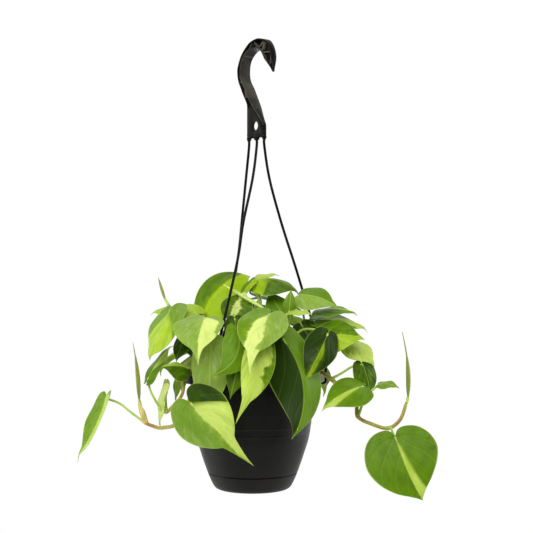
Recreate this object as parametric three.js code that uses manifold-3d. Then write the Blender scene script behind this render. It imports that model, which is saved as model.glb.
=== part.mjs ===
// A potted philodendron 'Brasil' in a hanging pot: nursery pot with its saucer, soil, a moulded
// plastic hanger and the vines. Everything is laid out in the pot's own frame (origin at the middle
// of the base, X right, Y to the back, Z up) and moved at the end, so that the origin is the seat of
// the hanging hook. Lengths are millimetres.
import * as THREE from "three";
import { mergeVertices } from "three/addons/utils/BufferGeometryUtils.js";
import Module from "manifold-3d";

const wasm = await Module();
wasm.setup();

const GAP = 0.3;              // clearance kept between neighbouring pieces
const ROUND = 30;             // sides of the pot, the saucer and the soil

// Pot and saucer
const WALL = 1.6;
const POT_HEIGHT = 130;
const RIM_RADIUS = 80;
const RIM_DEPTH = 10;         // height of the band round the rim
const SEAM_HEIGHT = 18;       // where the saucer ends and the pot's shoulder begins
const SAUCER_FLOOR = 1.8;
const FLOOR_TOP = 6.8;        // upper side of the pot's own floor
const RIM_INSIDE = 69.4;      // radius of the pot's mouth
const RIM_ROUND = 0.8;        // rounding of the rim's edges
const SHOULDER = 50.4;        // radius of the pot where it sits on the saucer's edge
const DRAIN_RADIUS = 4.5;
const DRAIN_CIRCLE = 22;
const DRAINS = 4;
const DRAIN_SIDES = 10;
// under side of the pot, from its middle to the foot ring: radius, height above the foot
const POT_FOOT = [[0, 3], [28, 3], [29, 0], [39, 0], [40.7, 2.3]];
// upper side of the pot's floor, from the wall to the middle: radius, height
const POT_FLOOR = [[46, 19], [40, FLOOR_TOP + 1.6], [38.4, FLOOR_TOP], [0, FLOOR_TOP]];
// outer face of the pot above its shoulder: radius, height
const POT_SIDE = [
  [51, 19.4], [54.9, 31], [58.5, 42], [62.6, 55.4], [65.3, 71], [67.4, 91], [70, 118.6],
];
// inner face of the pot's wall, with every other point
const POT_INSIDE = POT_SIDE.filter((_, i) => i % 2 === 0).map(([r, z]) => [r - WALL, z + 1]);
// outer face of the saucer from its foot to its edge, and its inner face below the wall
const SAUCER_SIDE = [[36.5, 0], [39.6, 0.7], [42, 2.6], [43.7, 6], [46.8, 12], [49.7, SEAM_HEIGHT]];
const SAUCER_INSIDE = [[40.6, SAUCER_FLOOR + 1.4], [39.5, SAUCER_FLOOR], [0, SAUCER_FLOOR]];
const SAUCER_WALL = SAUCER_SIDE.slice(3);

// Soil
const SOIL_TOP = 116;
const SOIL_BUMP = 1.6;
const SOIL_CLEAR = 0.65;      // room between the soil and the pot's wall
const SOIL_FOOT = [[0, FLOOR_TOP + GAP], [37.6, FLOOR_TOP + GAP], [45.4, 19]];
const SOIL_RINGS = [50, 32, 14];
const HOLE_SPARE = 0.6;       // the holes that the stems stand in are this much wider than the stems
const HOLE_SIDES = 6;

// Hook: seen square on, h runs across it and z up; it is turned about the vertical
const HOOK_TURN = 52;         // degrees between the hook's plane and X
const BEND_FROM = 455;        // height from which the hook bends over
const POINT_THINNING = 0.5;   // share of its thickness that the hook loses over POINT_SPAN
const POINT_SPAN = [-8, 33];  // across the hook
const NECK_SHARE = 0.26;      // share of its thickness that the hook has at the plate
const NECK_SPAN = [404, 440]; // heights between which it thickens
const HOOK_X = 4.4;
const HOOK_Y = 3.2;
const HOOK_THICK = 14;
const HOOK_SEAT = [4, 491.5];
const FLANGE = 1.7;
const WEB = 2.4;
const EDGE_STEPS = 16;
const TRUSS_WIDTH = 1.1;
const TRUSS_STATIONS = 13;    // parts of the hook's edges that the truss zigzags between
const TRUSS_SEARCH = 90;      // parts of the inner edge among which the nearest point is looked for
const TRUSS_INSET = 0.1;      // how far short of the edges a bar ends, as a share of its way
const OUTER_EDGE = [
  [-15.5, 427], [-14.6, 434], [-18.9, 446], [-25, 457.2], [-27.3, 466.6], [-26.4, 475], [-19.5, 487.5],
  [-6.3, 498.4], [6, 502.2], [14.2, 501.5], [21.2, 498.6], [27.3, 492], [30.8, 483.8], [32, 473],
  [31.2, 463.4],
];
const INNER_EDGE = [
  [15.4, 406], [2, 426.3], [-5, 436.5], [-12.6, 449.5], [-18.6, 458], [-20.9, 465.5], [-20.2, 476],
  [-16.2, 483.6], [-7.7, 489.8], [-0.7, 491.4], [7.3, 491.1], [13.4, 487.6], [19.4, 478], [26.2, 468.2],
  [30, 462.8],
];
const PLATE_HALF = 16;
const PLATE_BOTTOM = 390;
const PLATE_THICK = 3;
const PLATE = [
  [-PLATE_HALF, PLATE_BOTTOM], [PLATE_HALF, PLATE_BOTTOM], [PLATE_HALF, 405],
  [3, 425], [-10, 432], [-PLATE_HALF, 428],
];
const BEADS = [393, 396];     // heights of the two moulded lines on the plate
const BEAD_WIDTH = 1.2;
const BEAD_THICK = 4.6;
const PLATE_HOLE = [-1, 406];
const PLATE_HOLE_RADIUS = 5;
const ARCH_RADIUS = 5.2;
const HOLE_ROUND = 16;        // sides of the holes in the plate
const ARCHES = [[-7.4, 388.5], [7.4, 388.5]];

// Strands: where each leaves the plate (h), its bearing at the rim and the way between, as points
const STRAND_RADIUS = 1.5;
const CLIP_RADIUS = 1.4;
const STRAND_STEPS = 12;
const CLIP_STEPS = 11;
const STRANDS = [
  {
    name: "strand_right", root: 14.2, bearing: 0,
    way: [[19, -6, 345], [32, -5, 297], [48, -4, 247], [63, -3, 198]],
  },
  {
    name: "strand_front", root: 0, bearing: 240,
    way: [[0, -7, 346], [-10, -20, 297], [-16, -33, 256], [-29, -54, 195]],
  },
  {
    name: "strand_back", root: -14.2, bearing: 120,
    way: [[-8, 20, 346], [-12, 31, 308], [-17, 43, 262], [-28, 58, 195]],
  },
];

// Leaves: half of the outline, as shares of the blade's length and width, from the notch to the tip
const HALF_OUTLINE = [
  [0, 0], [-0.085, 0.045], [-0.125, 0.13], [-0.105, 0.27], [-0.02, 0.39], [0.13, 0.475],
  [0.33, 0.5], [0.55, 0.42], [0.74, 0.27], [0.86, 0.125], [0.94, 0.04], [1, 0],
];
const BLADE_THICK = 0.8;
const BLADE_ROWS = 8;
const DRIP = 0.05;            // share of the length that the narrow tip takes, where a leaf gives none
const DRIP_NECK = 0.86;       // where on the outline that tip begins
const MIDRIB_LAG = 0.1;       // how far the rows lean back towards the lobes at the edge
const PETIOLE_RADIUS = 1.2;
const STEM_SIDES = 5;
const PETIOLE_SIDES = 4;
const STEM_STEPS = 1.4;       // lengths of tube for each point of a stem
const BACK_FOLD = 14;
const BACK_DRIP = 0.1;
const PETIOLE_RISE = 0.18;    // how high a petiole bends up, by its reach, where a leaf gives none
const PETIOLE_BEND = 0.35;    // where along its reach it bends
const PETIOLE_ENTRY = 0.28;   // how long its last part is that comes in along the blade, as a share too
const PETIOLE_SAG = 0.04;     // how far that part hangs below the blade
const PETIOLE_SWING = 0.1;    // how far it turns towards the blade, and how much more by its rise
const PETIOLE_SWING_BY_RISE = 2.2;
const PETIOLE_END = 0.035;    // where along the blade it ends
const PETIOLE_STEPS = 4;
const FURLED_LEAST = 0.5;     // the least radius of a furled leaf
const PINCH_FROM = 0.15;      // where on the outline the right half's pinch begins
const PINCH_TIP = 0.6;        // where a pinch towards the tip is whole
const PINCH_LOBE = 0.5;       // where a pinch at the lobe is over

const leaf = (at, base, tip, face, wide, arch, fold, more = {}) => ({
  at, base, tip, face, wide, arch, fold,
  sweep: 0, belly: 0, pinch: 0, drip: DRIP, rise: PETIOLE_RISE,
  ...more,
});
const spike = (at, base, tip, radius) => ({ at, base, tip, radius });

// A leaf at the back is placed by its bearing in degrees, with the reach and height of both its ends.
const backLeaf = (at, bearing, baseReach, baseHeight, tipReach, tipHeight, wide, arch) => {
  const a = THREE.MathUtils.degToRad(bearing);
  const droop = Math.atan2(baseHeight - tipHeight, tipReach - baseReach);
  const outward = (reach, height) => [reach * Math.cos(a), reach * Math.sin(a), height];
  const face = outward(Math.sin(droop), Math.cos(droop));
  const base = outward(baseReach, baseHeight);
  const tip = outward(tipReach, tipHeight);
  return leaf(at, base, tip, face, wide, arch, BACK_FOLD, { drip: BACK_DRIP });
};

// Each vine: the way of its stem, the leaves and the furled leaves. "at" is the stem point that a
// petiole starts from, base and tip are the ends of the midrib, face is where the upper side looks,
// wide is width by length, arch and sweep bend the midrib up and aside, fold is the fall of each half
// from the midrib in degrees, belly moves the widest place towards the tip, pinch narrows the right half
// towards the tip, or at the lobe if it is below 0, and rise is how high the petiole bends up.
const VINES = [
  {
    name: "vine_front", radius: 2.4,
    stem: [[2, -36, 104], [4, -40, 124], [7, -44, 142], [10, -46, 158]],
    leaves: [
      leaf(1, [-10, -80, 160], [-23, -90, 108], [0, -0.99, 0.15], 0.5, 0.04, 6),
      leaf(3, [19, -94, 199], [-2, -138, 138], [-0.1, -0.87, 0.48], 0.67, 0.14, 8,
        { drip: 0.2, sweep: -0.04 }),
      leaf(2, [-14.5, -85.5, 180], [-43, -104, 134], [0.31, -0.9, 0.31], 0.6, 0.1, 18,
        { drip: 0.06, sweep: 0.2 }),
      leaf(2, [-19, -50, 192], [-13, -64, 158], [0, -0.95, 0.32], 0.7, 0.08, 12),
      leaf(3, [-21, -38, 194], [-7, -24, 221], [0, -0.76, 0.65], 1.15, 0.1, 12),
    ],
    spikes: [spike(3, [17, -42, 200], [-33, -30, 229], 2.4)],
  },
  {
    name: "vine_front_left", radius: 2.4,
    stem: [[-30, -30, 104], [-34, -34, 124], [-40, -40, 146], [-44, -42, 164]],
    leaves: [
      leaf(1, [-43, -76, 166], [-46, -77, 84], [-0.25, -0.96, 0.05], 0.52, 0.03, 8),
      leaf(3, [-49, -78, 194], [-55, -117, 146], [-0.05, -0.78, 0.62], 0.99, 0.16, 8,
        { drip: 0.14, sweep: -0.025, pinch: 0.35 }),
    ],
  },
  {
    name: "vine_left", radius: 2.3,
    stem: [[-48, -8, 104], [-54, -12, 126], [-62, -16, 146], [-68, -20, 168]],
    leaves: [
      leaf(3, [-89, -38, 202], [-113, -55, 147], [-0.71, -0.61, 0.35], 0.84, 0.1, 10,
        { drip: 0.04, sweep: 0.12, belly: 0.06 }),
      leaf(3, [-61, -32, 197], [-115, -11, 196], [-0.1, -0.35, 0.93], 0.74, 0.08, 6),
      leaf(1, [-72, -34, 172], [-83, -44, 144], [-0.32, -0.85, 0.42], 0.7, 0.08, 10),
      leaf(2, [-61, -12, 177], [-64, -24, 142], [-0.2, -0.96, 0.2], 1, 0.08, 10),
      leaf(2, [-68, -62, 139], [-97, -74, 141], [-0.1, -0.71, 0.69], 1.05, 0.1, 34),
      leaf(3, [-54, -14, 192], [-2, 10, 240], [-0.3, -0.79, 0.54], 0.76, 0.15, 12,
        { drip: 0.02, sweep: 0.055, belly: 0.13, pinch: -0.45 }),
    ],
    spikes: [spike(3, [-98, 6, 209], [-107, 12, 236], 1.9)],
  },
  {
    name: "vine_trail_left", radius: 2.5,
    stem: [
      [-38, -34, 104], [-43, -41, 127], [-47, -50, 137], [-55, -62, 138], [-64, -66, 113.5],
      [-77, -62, 82], [-98, -44, 73], [-110, -33, 74], [-117, -28, 76],
    ],
    leaves: [
      leaf(4, [-65, -84, 105], [3, -98, 39], [-0.1, -0.98, 0.15], 0.66, 0.08, -8,
        { drip: 0.28, rise: 0.02 }),
      leaf(8, [-162, -20, 104], [-193, -45, 37], [-0.8, -0.4, 0.44], 0.58, 0, -13,
        { sweep: 0.16, rise: 0.02, pinch: -0.95 }),
    ],
    spikes: [spike(8, [-124, -28, 99], [-131, -31, 166], 2.7)],
  },
  {
    name: "vine_mid_left", radius: 2.2,
    stem: [
      [-53, -19, 104], [-57, -24, 127], [-63, -31, 137], [-71, -42, 137], [-73, -54, 126],
      [-76, -57, 109], [-93, -43, 89],
    ],
    leaves: [
      leaf(6, [-114, -40, 125], [-87, -30, 163], [-0.77, -0.56, 0.31], 0.5, 0.06, 12, { rise: -0.16 }),
      leaf(6, [-97, -30, 119], [-100, -34, 69], [-0.95, -0.28, 0.1], 0.75, 0.08, 10),
      leaf(4, [-80, -36, 133], [-83, -42, 99], [-0.84, -0.5, 0.2], 0.5, 0.05, 10),
    ],
  },
  {
    name: "vine_front_right", radius: 2.4,
    stem: [[30, -30, 104], [34, -34, 126], [38, -38, 146], [40, -38, 166]],
    leaves: [
      leaf(2, [31.5, -92, 174], [43, -110, 69], [0.3, -0.95, 0.1], 0.66, 0.04, 32,
        { drip: 0.02, sweep: 0.15, belly: 0.06, pinch: 0.12 }),
      leaf(1, [9, -111, 171], [-17.5, -130, 87], [-0.2, -0.96, 0.15], 0.42, 0.06, 24,
        { drip: 0.18, sweep: 0.07 }),
      leaf(3, [81, -71, 177], [54, -94, 126], [0.2, -0.91, 0.35], 0.64, 0.14, 22),
      leaf(3, [40, -52, 199], [42, -51, 224], [0, -0.95, 0.3], 0.6, 0.1, 20),
      leaf(3, [40, -56, 199], [65, -66, 196], [0, -0.3, 0.95], 0.7, 0.1, 10),
    ],
  },
  {
    name: "vine_right", radius: 2.3,
    stem: [[46, -10, 104], [52, -14, 126], [56, -18, 148], [58, -22, 170]],
    leaves: [
      leaf(3, [52, -32, 217], [94, -51, 203], [-0.05, -0.75, 0.65], 0.75, 0.14, 16),
      leaf(3, [70, -28, 198], [116, -34, 196], [0, -0.3, 0.95], 0.7, 0.1, 10),
      leaf(2, [71, -23, 189], [129, -18, 177], [0, -0.36, 0.93], 0.66, 0.1, 8),
      leaf(2, [73, -49, 173], [121, -65, 171], [0.1, -0.86, 0.5], 0.85, 0.08, 8),
      leaf(1, [54, -33, 184], [72, -38, 150], [0.1, -0.97, 0.2], 0.8, 0.1, 12),
      leaf(1, [105, -34, 163], [133, -52, 140], [0.31, -0.77, 0.56], 0.8, 0.12, 10),
    ],
  },
  {
    name: "vine_trail_right", radius: 2.4,
    stem: [
      [44, -26, 104], [50, -32, 127], [57, -38, 137], [68, -46, 137], [85, -56, 127], [105, -62, 109],
      [112, -62, 104], [113, -66, 88], [128, -68, 80], [145, -70, 76], [158, -68, 85], [165, -64, 102],
    ],
    leaves: [
      leaf(5, [119, -72, 121], [72, -98, 98], [-0.1, -0.8, 0.6], 0.72, 0.14, 14),
      leaf(4, [119, -48, 143], [128, -50, 106], [0.41, -0.89, 0.2], 0.75, 0.08, 10, { rise: 0.02 }),
      leaf(7, [136, -60, 122], [157, -74, 119], [0.1, -0.62, 0.78], 0.6, 0.1, 10),
      leaf(9, [151, -85, 69], [178.5, -100, 4], [-0.02, -0.99, 0.1], 1.08, 0.05, 3,
        { drip: 0, sweep: -0.035 }),
    ],
    spikes: [spike(11, [167, -62, 106], [161, -58, 179], 2.8)],
  },
  {
    name: "vine_top", radius: 2.3,
    stem: [[6, -4, 104], [8, -4, 130], [10, -6, 160], [10, -8, 186]],
    leaves: [
      leaf(3, [2, -4, 234], [53, -16, 218], [0.15, -0.56, 0.81], 0.8, 0.14, 30),
      leaf(3, [1, -13, 233], [-16, -19, 210], [-0.52, -0.83, 0.21], 0.38, 0.08, 14),
      leaf(3, [5, 7, 237], [30, 4, 238.5], [0, -0.3, 0.95], 0.6, 0.05, 8),
      leaf(2, [35, -14, 191], [17, 6, 219], [0, -0.91, 0.41], 0.8, 0.1, 12),
    ],
  },
  {
    name: "vine_back_right", radius: 2.3,
    stem: [[34, 26, 104], [38, 30, 126], [40, 34, 150], [40, 36, 172]],
    leaves: [
      backLeaf(3, 28, 60, 176, 116, 150, 0.85, 0.14),
      backLeaf(1, 40, 84, 146, 110, 94, 0.85, 0.14),
      backLeaf(3, 58, 52, 194, 104, 168, 0.85, 0.16),
      backLeaf(2, 70, 78, 156, 112, 116, 0.8, 0.14),
    ],
  },
  {
    name: "vine_back", radius: 2.3,
    stem: [[2, 34, 104], [2, 38, 126], [0, 42, 150], [-2, 42, 176]],
    leaves: [
      backLeaf(3, 88, 46, 204, 98, 184, 0.85, 0.16),
      backLeaf(1, 98, 84, 148, 108, 100, 0.8, 0.1),
      backLeaf(2, 100, 76, 178, 116, 138, 0.85, 0.14),
      backLeaf(3, 70, 24, 214, 70, 204, 0.8, 0.1),
    ],
  },
  {
    name: "vine_back_left", radius: 2.3,
    stem: [[-34, 22, 104], [-38, 26, 126], [-42, 28, 150], [-44, 30, 172]],
    leaves: [
      backLeaf(1, 140, 84, 148, 110, 96, 0.85, 0.14),
      backLeaf(3, 142, 58, 188, 108, 164, 0.85, 0.16),
      backLeaf(2, 160, 74, 160, 116, 122, 0.85, 0.14),
      backLeaf(3, 146, 26, 210, 74, 202, 0.75, 0.1),
    ],
  },
  {
    name: "vine_trail_back", radius: 2.3,
    stem: [
      [16, 46, 104], [15, 56, 127], [13, 67, 137], [12, 80, 138], [11, 90, 127], [8, 92, 100],
      [2, 96, 66], [0, 98, 52],
    ],
    leaves: [
      backLeaf(5, 80, 106, 112, 124, 58, 0.85, 0.1),
      backLeaf(6, 62, 104, 84, 116, 36, 0.85, 0.1),
      backLeaf(7, 100, 108, 60, 114, 12, 0.8, 0.08),
    ],
  },
];

const finish = (name, color, roughness) =>
  new THREE.MeshStandardMaterial({ name, color, roughness, metalness: 0 });
const plastic = finish("black_plastic", 0x1d1d1b, 0.6);
const mix = finish("potting_mix", 0x3b2a1e, 1);
const foliage = finish("foliage", 0x6a9f2a, 0.45);

// Turns lists of coordinates and triangles into a solid, the right way out.
function solidOf(points, triangles) {
  const build = (list) => new wasm.Manifold(new wasm.Mesh({
    numProp: 3,
    vertProperties: new Float32Array(points.flat()),
    triVerts: new Uint32Array(list.flat()),
  }));
  const solid = build(triangles);
  return solid.volume() < 0 ? build(triangles.map(([a, b, c]) => [a, c, b])) : solid;
}

function solidOfGeometry(geometry) {
  const plain = geometry.clone();
  plain.deleteAttribute("normal");
  plain.deleteAttribute("uv");
  const merged = mergeVertices(plain, 1e-4);
  const p = merged.attributes.position;
  const points = Array.from({ length: p.count }, (_, i) => [p.getX(i), p.getY(i), p.getZ(i)]);
  const index = Array.from(merged.index.array);
  const triangles = [];
  for (let i = 0; i < index.length; i += 3) {
    triangles.push(index.slice(i, i + 3));
  }
  return solidOf(points, triangles);
}

function geometryOf(solid) {
  const mesh = solid.getMesh();
  const geometry = new THREE.BufferGeometry();
  geometry.setAttribute("position", new THREE.BufferAttribute(new Float32Array(mesh.vertProperties), 3));
  geometry.setIndex(new THREE.BufferAttribute(new Uint32Array(mesh.triVerts), 1));
  return geometry;
}

const joined = (solids) => solids.reduce((all, one) => all.add(one));
const stemSteps = (stem) => Math.round(stem.length * STEM_STEPS);

// A closed ring of radius and height points turned round the Z axis.
function turned(profile) {
  const ring = profile.map(([r, z]) => new THREE.Vector2(r, z));
  if (profile[0][0] > 0) {
    ring.push(ring[0].clone());
  }
  const geometry = new THREE.LatheGeometry(ring, ROUND);
  geometry.rotateX(Math.PI / 2);
  return solidOfGeometry(geometry);
}

function post(radius, bottom, top, x, y, sides) {
  const geometry = new THREE.CylinderGeometry(radius, radius, top - bottom, sides);
  geometry.rotateX(Math.PI / 2);
  geometry.translate(x, y, (top + bottom) / 2);
  return solidOfGeometry(geometry);
}

// A tube round a smooth curve through the points; radiusAt takes the share of the length.
function tube(points, radiusAt, sides, steps, lengthen = 0) {
  const way = points.map((p) => new THREE.Vector3(...p));
  const curve = new THREE.CatmullRomCurve3(way, false, "catmullrom");
  const frames = curve.computeFrenetFrames(steps, false);
  const vertices = [];
  const triangles = [];
  for (let i = 0; i <= steps; i += 1) {
    const centre = curve.getPointAt(i / steps);
    if (i === 0) {
      centre.addScaledVector(frames.tangents[0], -lengthen);
    }
    const radius = radiusAt(i / steps);
    for (let k = 0; k < sides; k += 1) {
      const a = (2 * Math.PI * k) / sides;
      const p = centre.clone().addScaledVector(frames.normals[i], radius * Math.cos(a));
      p.addScaledVector(frames.binormals[i], radius * Math.sin(a));
      vertices.push(p.toArray());
    }
  }
  for (let i = 0; i < steps; i += 1) {
    for (let k = 0; k < sides; k += 1) {
      const a = i * sides + k;
      const b = i * sides + ((k + 1) % sides);
      triangles.push([a, b, b + sides], [a, b + sides, a + sides]);
    }
  }
  const end = steps * sides;
  for (let k = 1; k < sides - 1; k += 1) {
    triangles.push([0, k + 1, k], [end, end + k, end + k + 1]);
  }
  return solidOf(vertices, triangles);
}

function pot() {
  const foot = POT_FOOT.map(([r, z]) => [r, SAUCER_FLOOR + GAP + z]);
  const socket = SAUCER_WALL.map(([r, z]) => [r - WALL - 1.6 * GAP, z + GAP]);
  const underRim = POT_HEIGHT - RIM_DEPTH;
  const skirt = RIM_RADIUS - WALL;
  const shell = turned([
    ...foot, ...socket, [SHOULDER, SEAM_HEIGHT + GAP],
    ...POT_SIDE, [RIM_INSIDE + RIM_ROUND, POT_HEIGHT - WALL], [skirt, POT_HEIGHT - WALL],
    [skirt, underRim], [RIM_RADIUS - RIM_ROUND, underRim], [RIM_RADIUS, underRim + RIM_ROUND],
    [RIM_RADIUS, POT_HEIGHT - RIM_ROUND], [RIM_RADIUS - RIM_ROUND, POT_HEIGHT],
    [RIM_INSIDE, POT_HEIGHT], [RIM_INSIDE - RIM_ROUND, POT_HEIGHT - RIM_ROUND],
    ...POT_INSIDE.toReversed(), ...POT_FLOOR,
  ]);
  const drains = Array.from({ length: DRAINS }, (_, i) => {
    const a = (2 * Math.PI * (i + 0.5)) / DRAINS;
    const [x, y] = [DRAIN_CIRCLE * Math.cos(a), DRAIN_CIRCLE * Math.sin(a)];
    return post(DRAIN_RADIUS, 0, FLOOR_TOP + 2, x, y, DRAIN_SIDES);
  });
  return shell.subtract(joined(drains));
}

function saucer() {
  const inside = SAUCER_WALL.map(([r, z]) => [r - WALL, z]).reverse();
  return turned([[0, 0], ...SAUCER_SIDE, ...inside, ...SAUCER_INSIDE]);
}

// The soil fills the pot to a little below its rim, and its top is gently uneven.
function soil() {
  const rows = POT_INSIDE.slice(0, -1).map(([r, z]) => [r - SOIL_CLEAR, z + GAP]);
  const edge = POT_INSIDE.at(-1)[0] - SOIL_CLEAR - 0.4;
  const rings = [edge, ...SOIL_RINGS].map((r) => [r, SOIL_TOP]);
  const profile = [...SOIL_FOOT, ...rows, ...rings, [0, SOIL_TOP]];
  const body = new THREE.LatheGeometry(profile.map(([r, z]) => new THREE.Vector2(r, z)), ROUND);
  body.rotateX(Math.PI / 2);
  const p = body.attributes.position;
  for (let i = 0; i < p.count; i += 1) {
    const x = p.getX(i);
    const y = p.getY(i);
    if (p.getZ(i) > SOIL_TOP - 1 && Math.hypot(x, y) < edge - 1) {
      const wave = Math.sin(x / 7) * Math.cos(y / 9) + 0.5 * Math.sin((x + y) / 4);
      p.setZ(i, SOIL_TOP + SOIL_BUMP * wave);
    }
  }
  const holes = VINES.map(({ stem, radius }) => (
    tube(stem, () => radius + HOLE_SPARE, HOLE_SIDES, stemSteps(stem), GAP)
  ));
  return solidOfGeometry(body).subtract(joined(holes));
}

// A flat outline in the hook's own plane, thickened to both sides of it.
function slab(outline, thick) {
  const shape = new THREE.Shape(outline.map(([h, z]) => new THREE.Vector2(h, z)));
  const geometry = new THREE.ExtrudeGeometry(shape, { depth: thick, bevelEnabled: false });
  geometry.translate(0, 0, -thick / 2);
  return solidOfGeometry(geometry);
}

const edgeCurve = (points) => new THREE.SplineCurve(points.map(([h, z]) => new THREE.Vector2(h, z)));
const sampled = (curve, steps) =>
  Array.from({ length: steps + 1 }, (_, i) => curve.getPoint(i / steps).toArray());

// A strip along a curve on its left (side 1) or right (side -1).
function band(curve, width, side, steps) {
  const near = [];
  const far = [];
  for (let i = 0; i <= steps; i += 1) {
    const p = curve.getPoint(i / steps);
    const t = curve.getTangent(i / steps);
    near.push([p.x, p.y]);
    far.push([p.x - side * width * t.y, p.y + side * width * t.x]);
  }
  return slab([...near, ...far.reverse()], HOOK_THICK);
}

function bar(from, to, width, thick) {
  const length = from.distanceTo(to);
  const geometry = new THREE.BoxGeometry(length, width, thick);
  geometry.rotateZ(Math.atan2(to.y - from.y, to.x - from.x));
  geometry.translate((from.x + to.x) / 2, (from.y + to.y) / 2, 0);
  return solidOfGeometry(geometry);
}

// The hook is full thickness along its back and thinner at its point and where it meets the plate.
function hookThickness(h, z) {
  const { smoothstep } = THREE.MathUtils;
  if (z > BEND_FROM) {
    return 1 - POINT_THINNING * smoothstep(h, ...POINT_SPAN);
  }
  return NECK_SHARE + (1 - NECK_SHARE) * smoothstep(z, ...NECK_SPAN);
}

function hookPoint(h, along, z) {
  const a = THREE.MathUtils.degToRad(HOOK_TURN);
  return [
    HOOK_X + h * Math.cos(a) + along * Math.sin(a),
    HOOK_Y - h * Math.sin(a) + along * Math.cos(a),
    z,
  ];
}

function hook() {
  const outer = edgeCurve(OUTER_EDGE);
  const inner = edgeCurve(INNER_EDGE);
  const silhouette = [...sampled(outer, EDGE_STEPS), ...sampled(inner, EDGE_STEPS).reverse()];
  const web = slab(silhouette, WEB);
  const solids = [web, band(outer, FLANGE, -1, EDGE_STEPS), band(inner, FLANGE, 1, EDGE_STEPS)];
  const far = inner.getPoints(TRUSS_SEARCH);
  const nearest = (p) => far.reduce((best, q) => (q.distanceTo(p) < best.distanceTo(p) ? q : best));
  const stations = outer.getPoints(TRUSS_STATIONS).slice(1, -1).map((p, i) => (i % 2 ? nearest(p) : p));
  stations.slice(1).forEach((finish, i) => {
    const from = stations[i].clone().lerp(finish, TRUSS_INSET);
    const to = finish.clone().lerp(stations[i], TRUSS_INSET);
    solids.push(bar(from, to, TRUSS_WIDTH, HOOK_THICK - 2));
  });
  const frame = joined(solids).intersect(slab(silhouette, HOOK_THICK));
  const shaped = frame.warp((v) => {
    v[2] *= hookThickness(v[0], v[1]);
  });
  const beads = BEADS.map((z) => (
    bar(new THREE.Vector2(-PLATE_HALF, z), new THREE.Vector2(PLATE_HALF, z), BEAD_WIDTH, BEAD_THICK)
  ));
  const round = ([h, z], radius) => {
    const geometry = new THREE.CylinderGeometry(radius, radius, 3 * HOOK_THICK, HOLE_ROUND);
    geometry.rotateX(Math.PI / 2);
    geometry.translate(h, z, 0);
    return solidOfGeometry(geometry);
  };
  const cuts = [round(PLATE_HOLE, PLATE_HOLE_RADIUS), ...ARCHES.map((at) => round(at, ARCH_RADIUS))];
  const whole = joined([shaped, slab(PLATE, PLATE_THICK), ...beads]).subtract(joined(cuts));
  return whole.warp((v) => {
    const [x, y, z] = hookPoint(v[0], -v[2], v[1]);
    v[0] = x;
    v[1] = y;
    v[2] = z;
  });
}

// A strand runs from under the plate to the rim, passes down outside the rim's skirt and hooks up
// behind it.
function strand({ root, bearing, way }) {
  const a = THREE.MathUtils.degToRad(bearing);
  const beside = (radius, z) => [radius * Math.cos(a), radius * Math.sin(a), z];
  const outside = RIM_RADIUS + CLIP_RADIUS + GAP;
  const inside = RIM_RADIUS - WALL - CLIP_RADIUS - 3 * GAP;
  const under = POT_HEIGHT - RIM_DEPTH - CLIP_RADIUS - 1.5 * GAP;
  const top = hookPoint(root, 0, PLATE_BOTTOM - GAP);
  const start = hookPoint(root, 0, PLATE_BOTTOM - 8);
  const down = tube(
    [top, start, ...way, beside(outside - 1, POT_HEIGHT + 16), beside(outside + 0.2, POT_HEIGHT + 2)],
    () => STRAND_RADIUS,
    STEM_SIDES,
    STRAND_STEPS,
  );
  const clip = tube(
    [
      beside(outside + 0.1, POT_HEIGHT + 5), beside(outside, POT_HEIGHT - 3), beside(outside, under + 1.4),
      beside((outside + inside) / 2, under - 0.9), beside(inside, under + 1.4),
      beside(inside, POT_HEIGHT - WALL - 2.6),
    ],
    () => CLIP_RADIUS,
    STEM_SIDES,
    CLIP_STEPS,
  );
  return down.add(clip);
}

// The outline's point at a share of its half, moved on by the leaf's belly and with the tip drawn out
// by its drip.
const outline = new THREE.SplineCurve(HALF_OUTLINE.map(([s, w]) => new THREE.Vector2(s, w)));
function drawnOut(share, { drip, belly }) {
  if (share <= 0) {
    return share;
  }
  const s = share + belly * 4 * share * (1 - share);
  const neck = DRIP_NECK * (1 - drip);
  return s < DRIP_NECK ? s * (1 - drip) : neck + ((s - DRIP_NECK) / (1 - DRIP_NECK)) * (1 - neck);
}

function bladeFrame({ base, tip, face }) {
  const foot = new THREE.Vector3(...base);
  const along = new THREE.Vector3(...tip).sub(foot);
  const length = along.length();
  along.normalize();
  const up = new THREE.Vector3(...face);
  up.addScaledVector(along, -up.dot(along)).normalize();
  const side = new THREE.Vector3().crossVectors(up, along);
  return { foot, along, up, side, length };
}

// A point of the blade's middle surface and its normal: s from the petiole (0) to the tip (1), and w
// across, as a share of the length.
function bladePoint({ arch, fold, sweep }, { foot, along, up, side, length }, s, w) {
  const rise = 4 * s * (1 - s);
  const slope = 4 * (1 - 2 * s);
  const centre = foot.clone().addScaledVector(along, length * s);
  centre.addScaledVector(up, length * arch * rise).addScaledVector(side, length * sweep * rise);
  const tangent = along.clone().addScaledVector(up, arch * slope);
  tangent.addScaledVector(side, sweep * slope).normalize();
  const across = side.clone().addScaledVector(tangent, -side.dot(tangent)).normalize();
  const normal = new THREE.Vector3().crossVectors(tangent, across);
  const a = THREE.MathUtils.degToRad(fold);
  const point = centre.addScaledVector(across, length * w * Math.cos(a));
  point.addScaledVector(normal, -length * Math.abs(w) * Math.sin(a));
  return { point, normal };
}

// How much of its width the right half keeps at a share of the outline.
function pinched(share, pinch) {
  const { smoothstep } = THREE.MathUtils;
  if (pinch > 0) {
    return 1 - pinch * smoothstep(share, PINCH_FROM, PINCH_TIP);
  }
  return 1 + pinch * (1 - smoothstep(share, PINCH_FROM, PINCH_LOBE));
}

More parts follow.
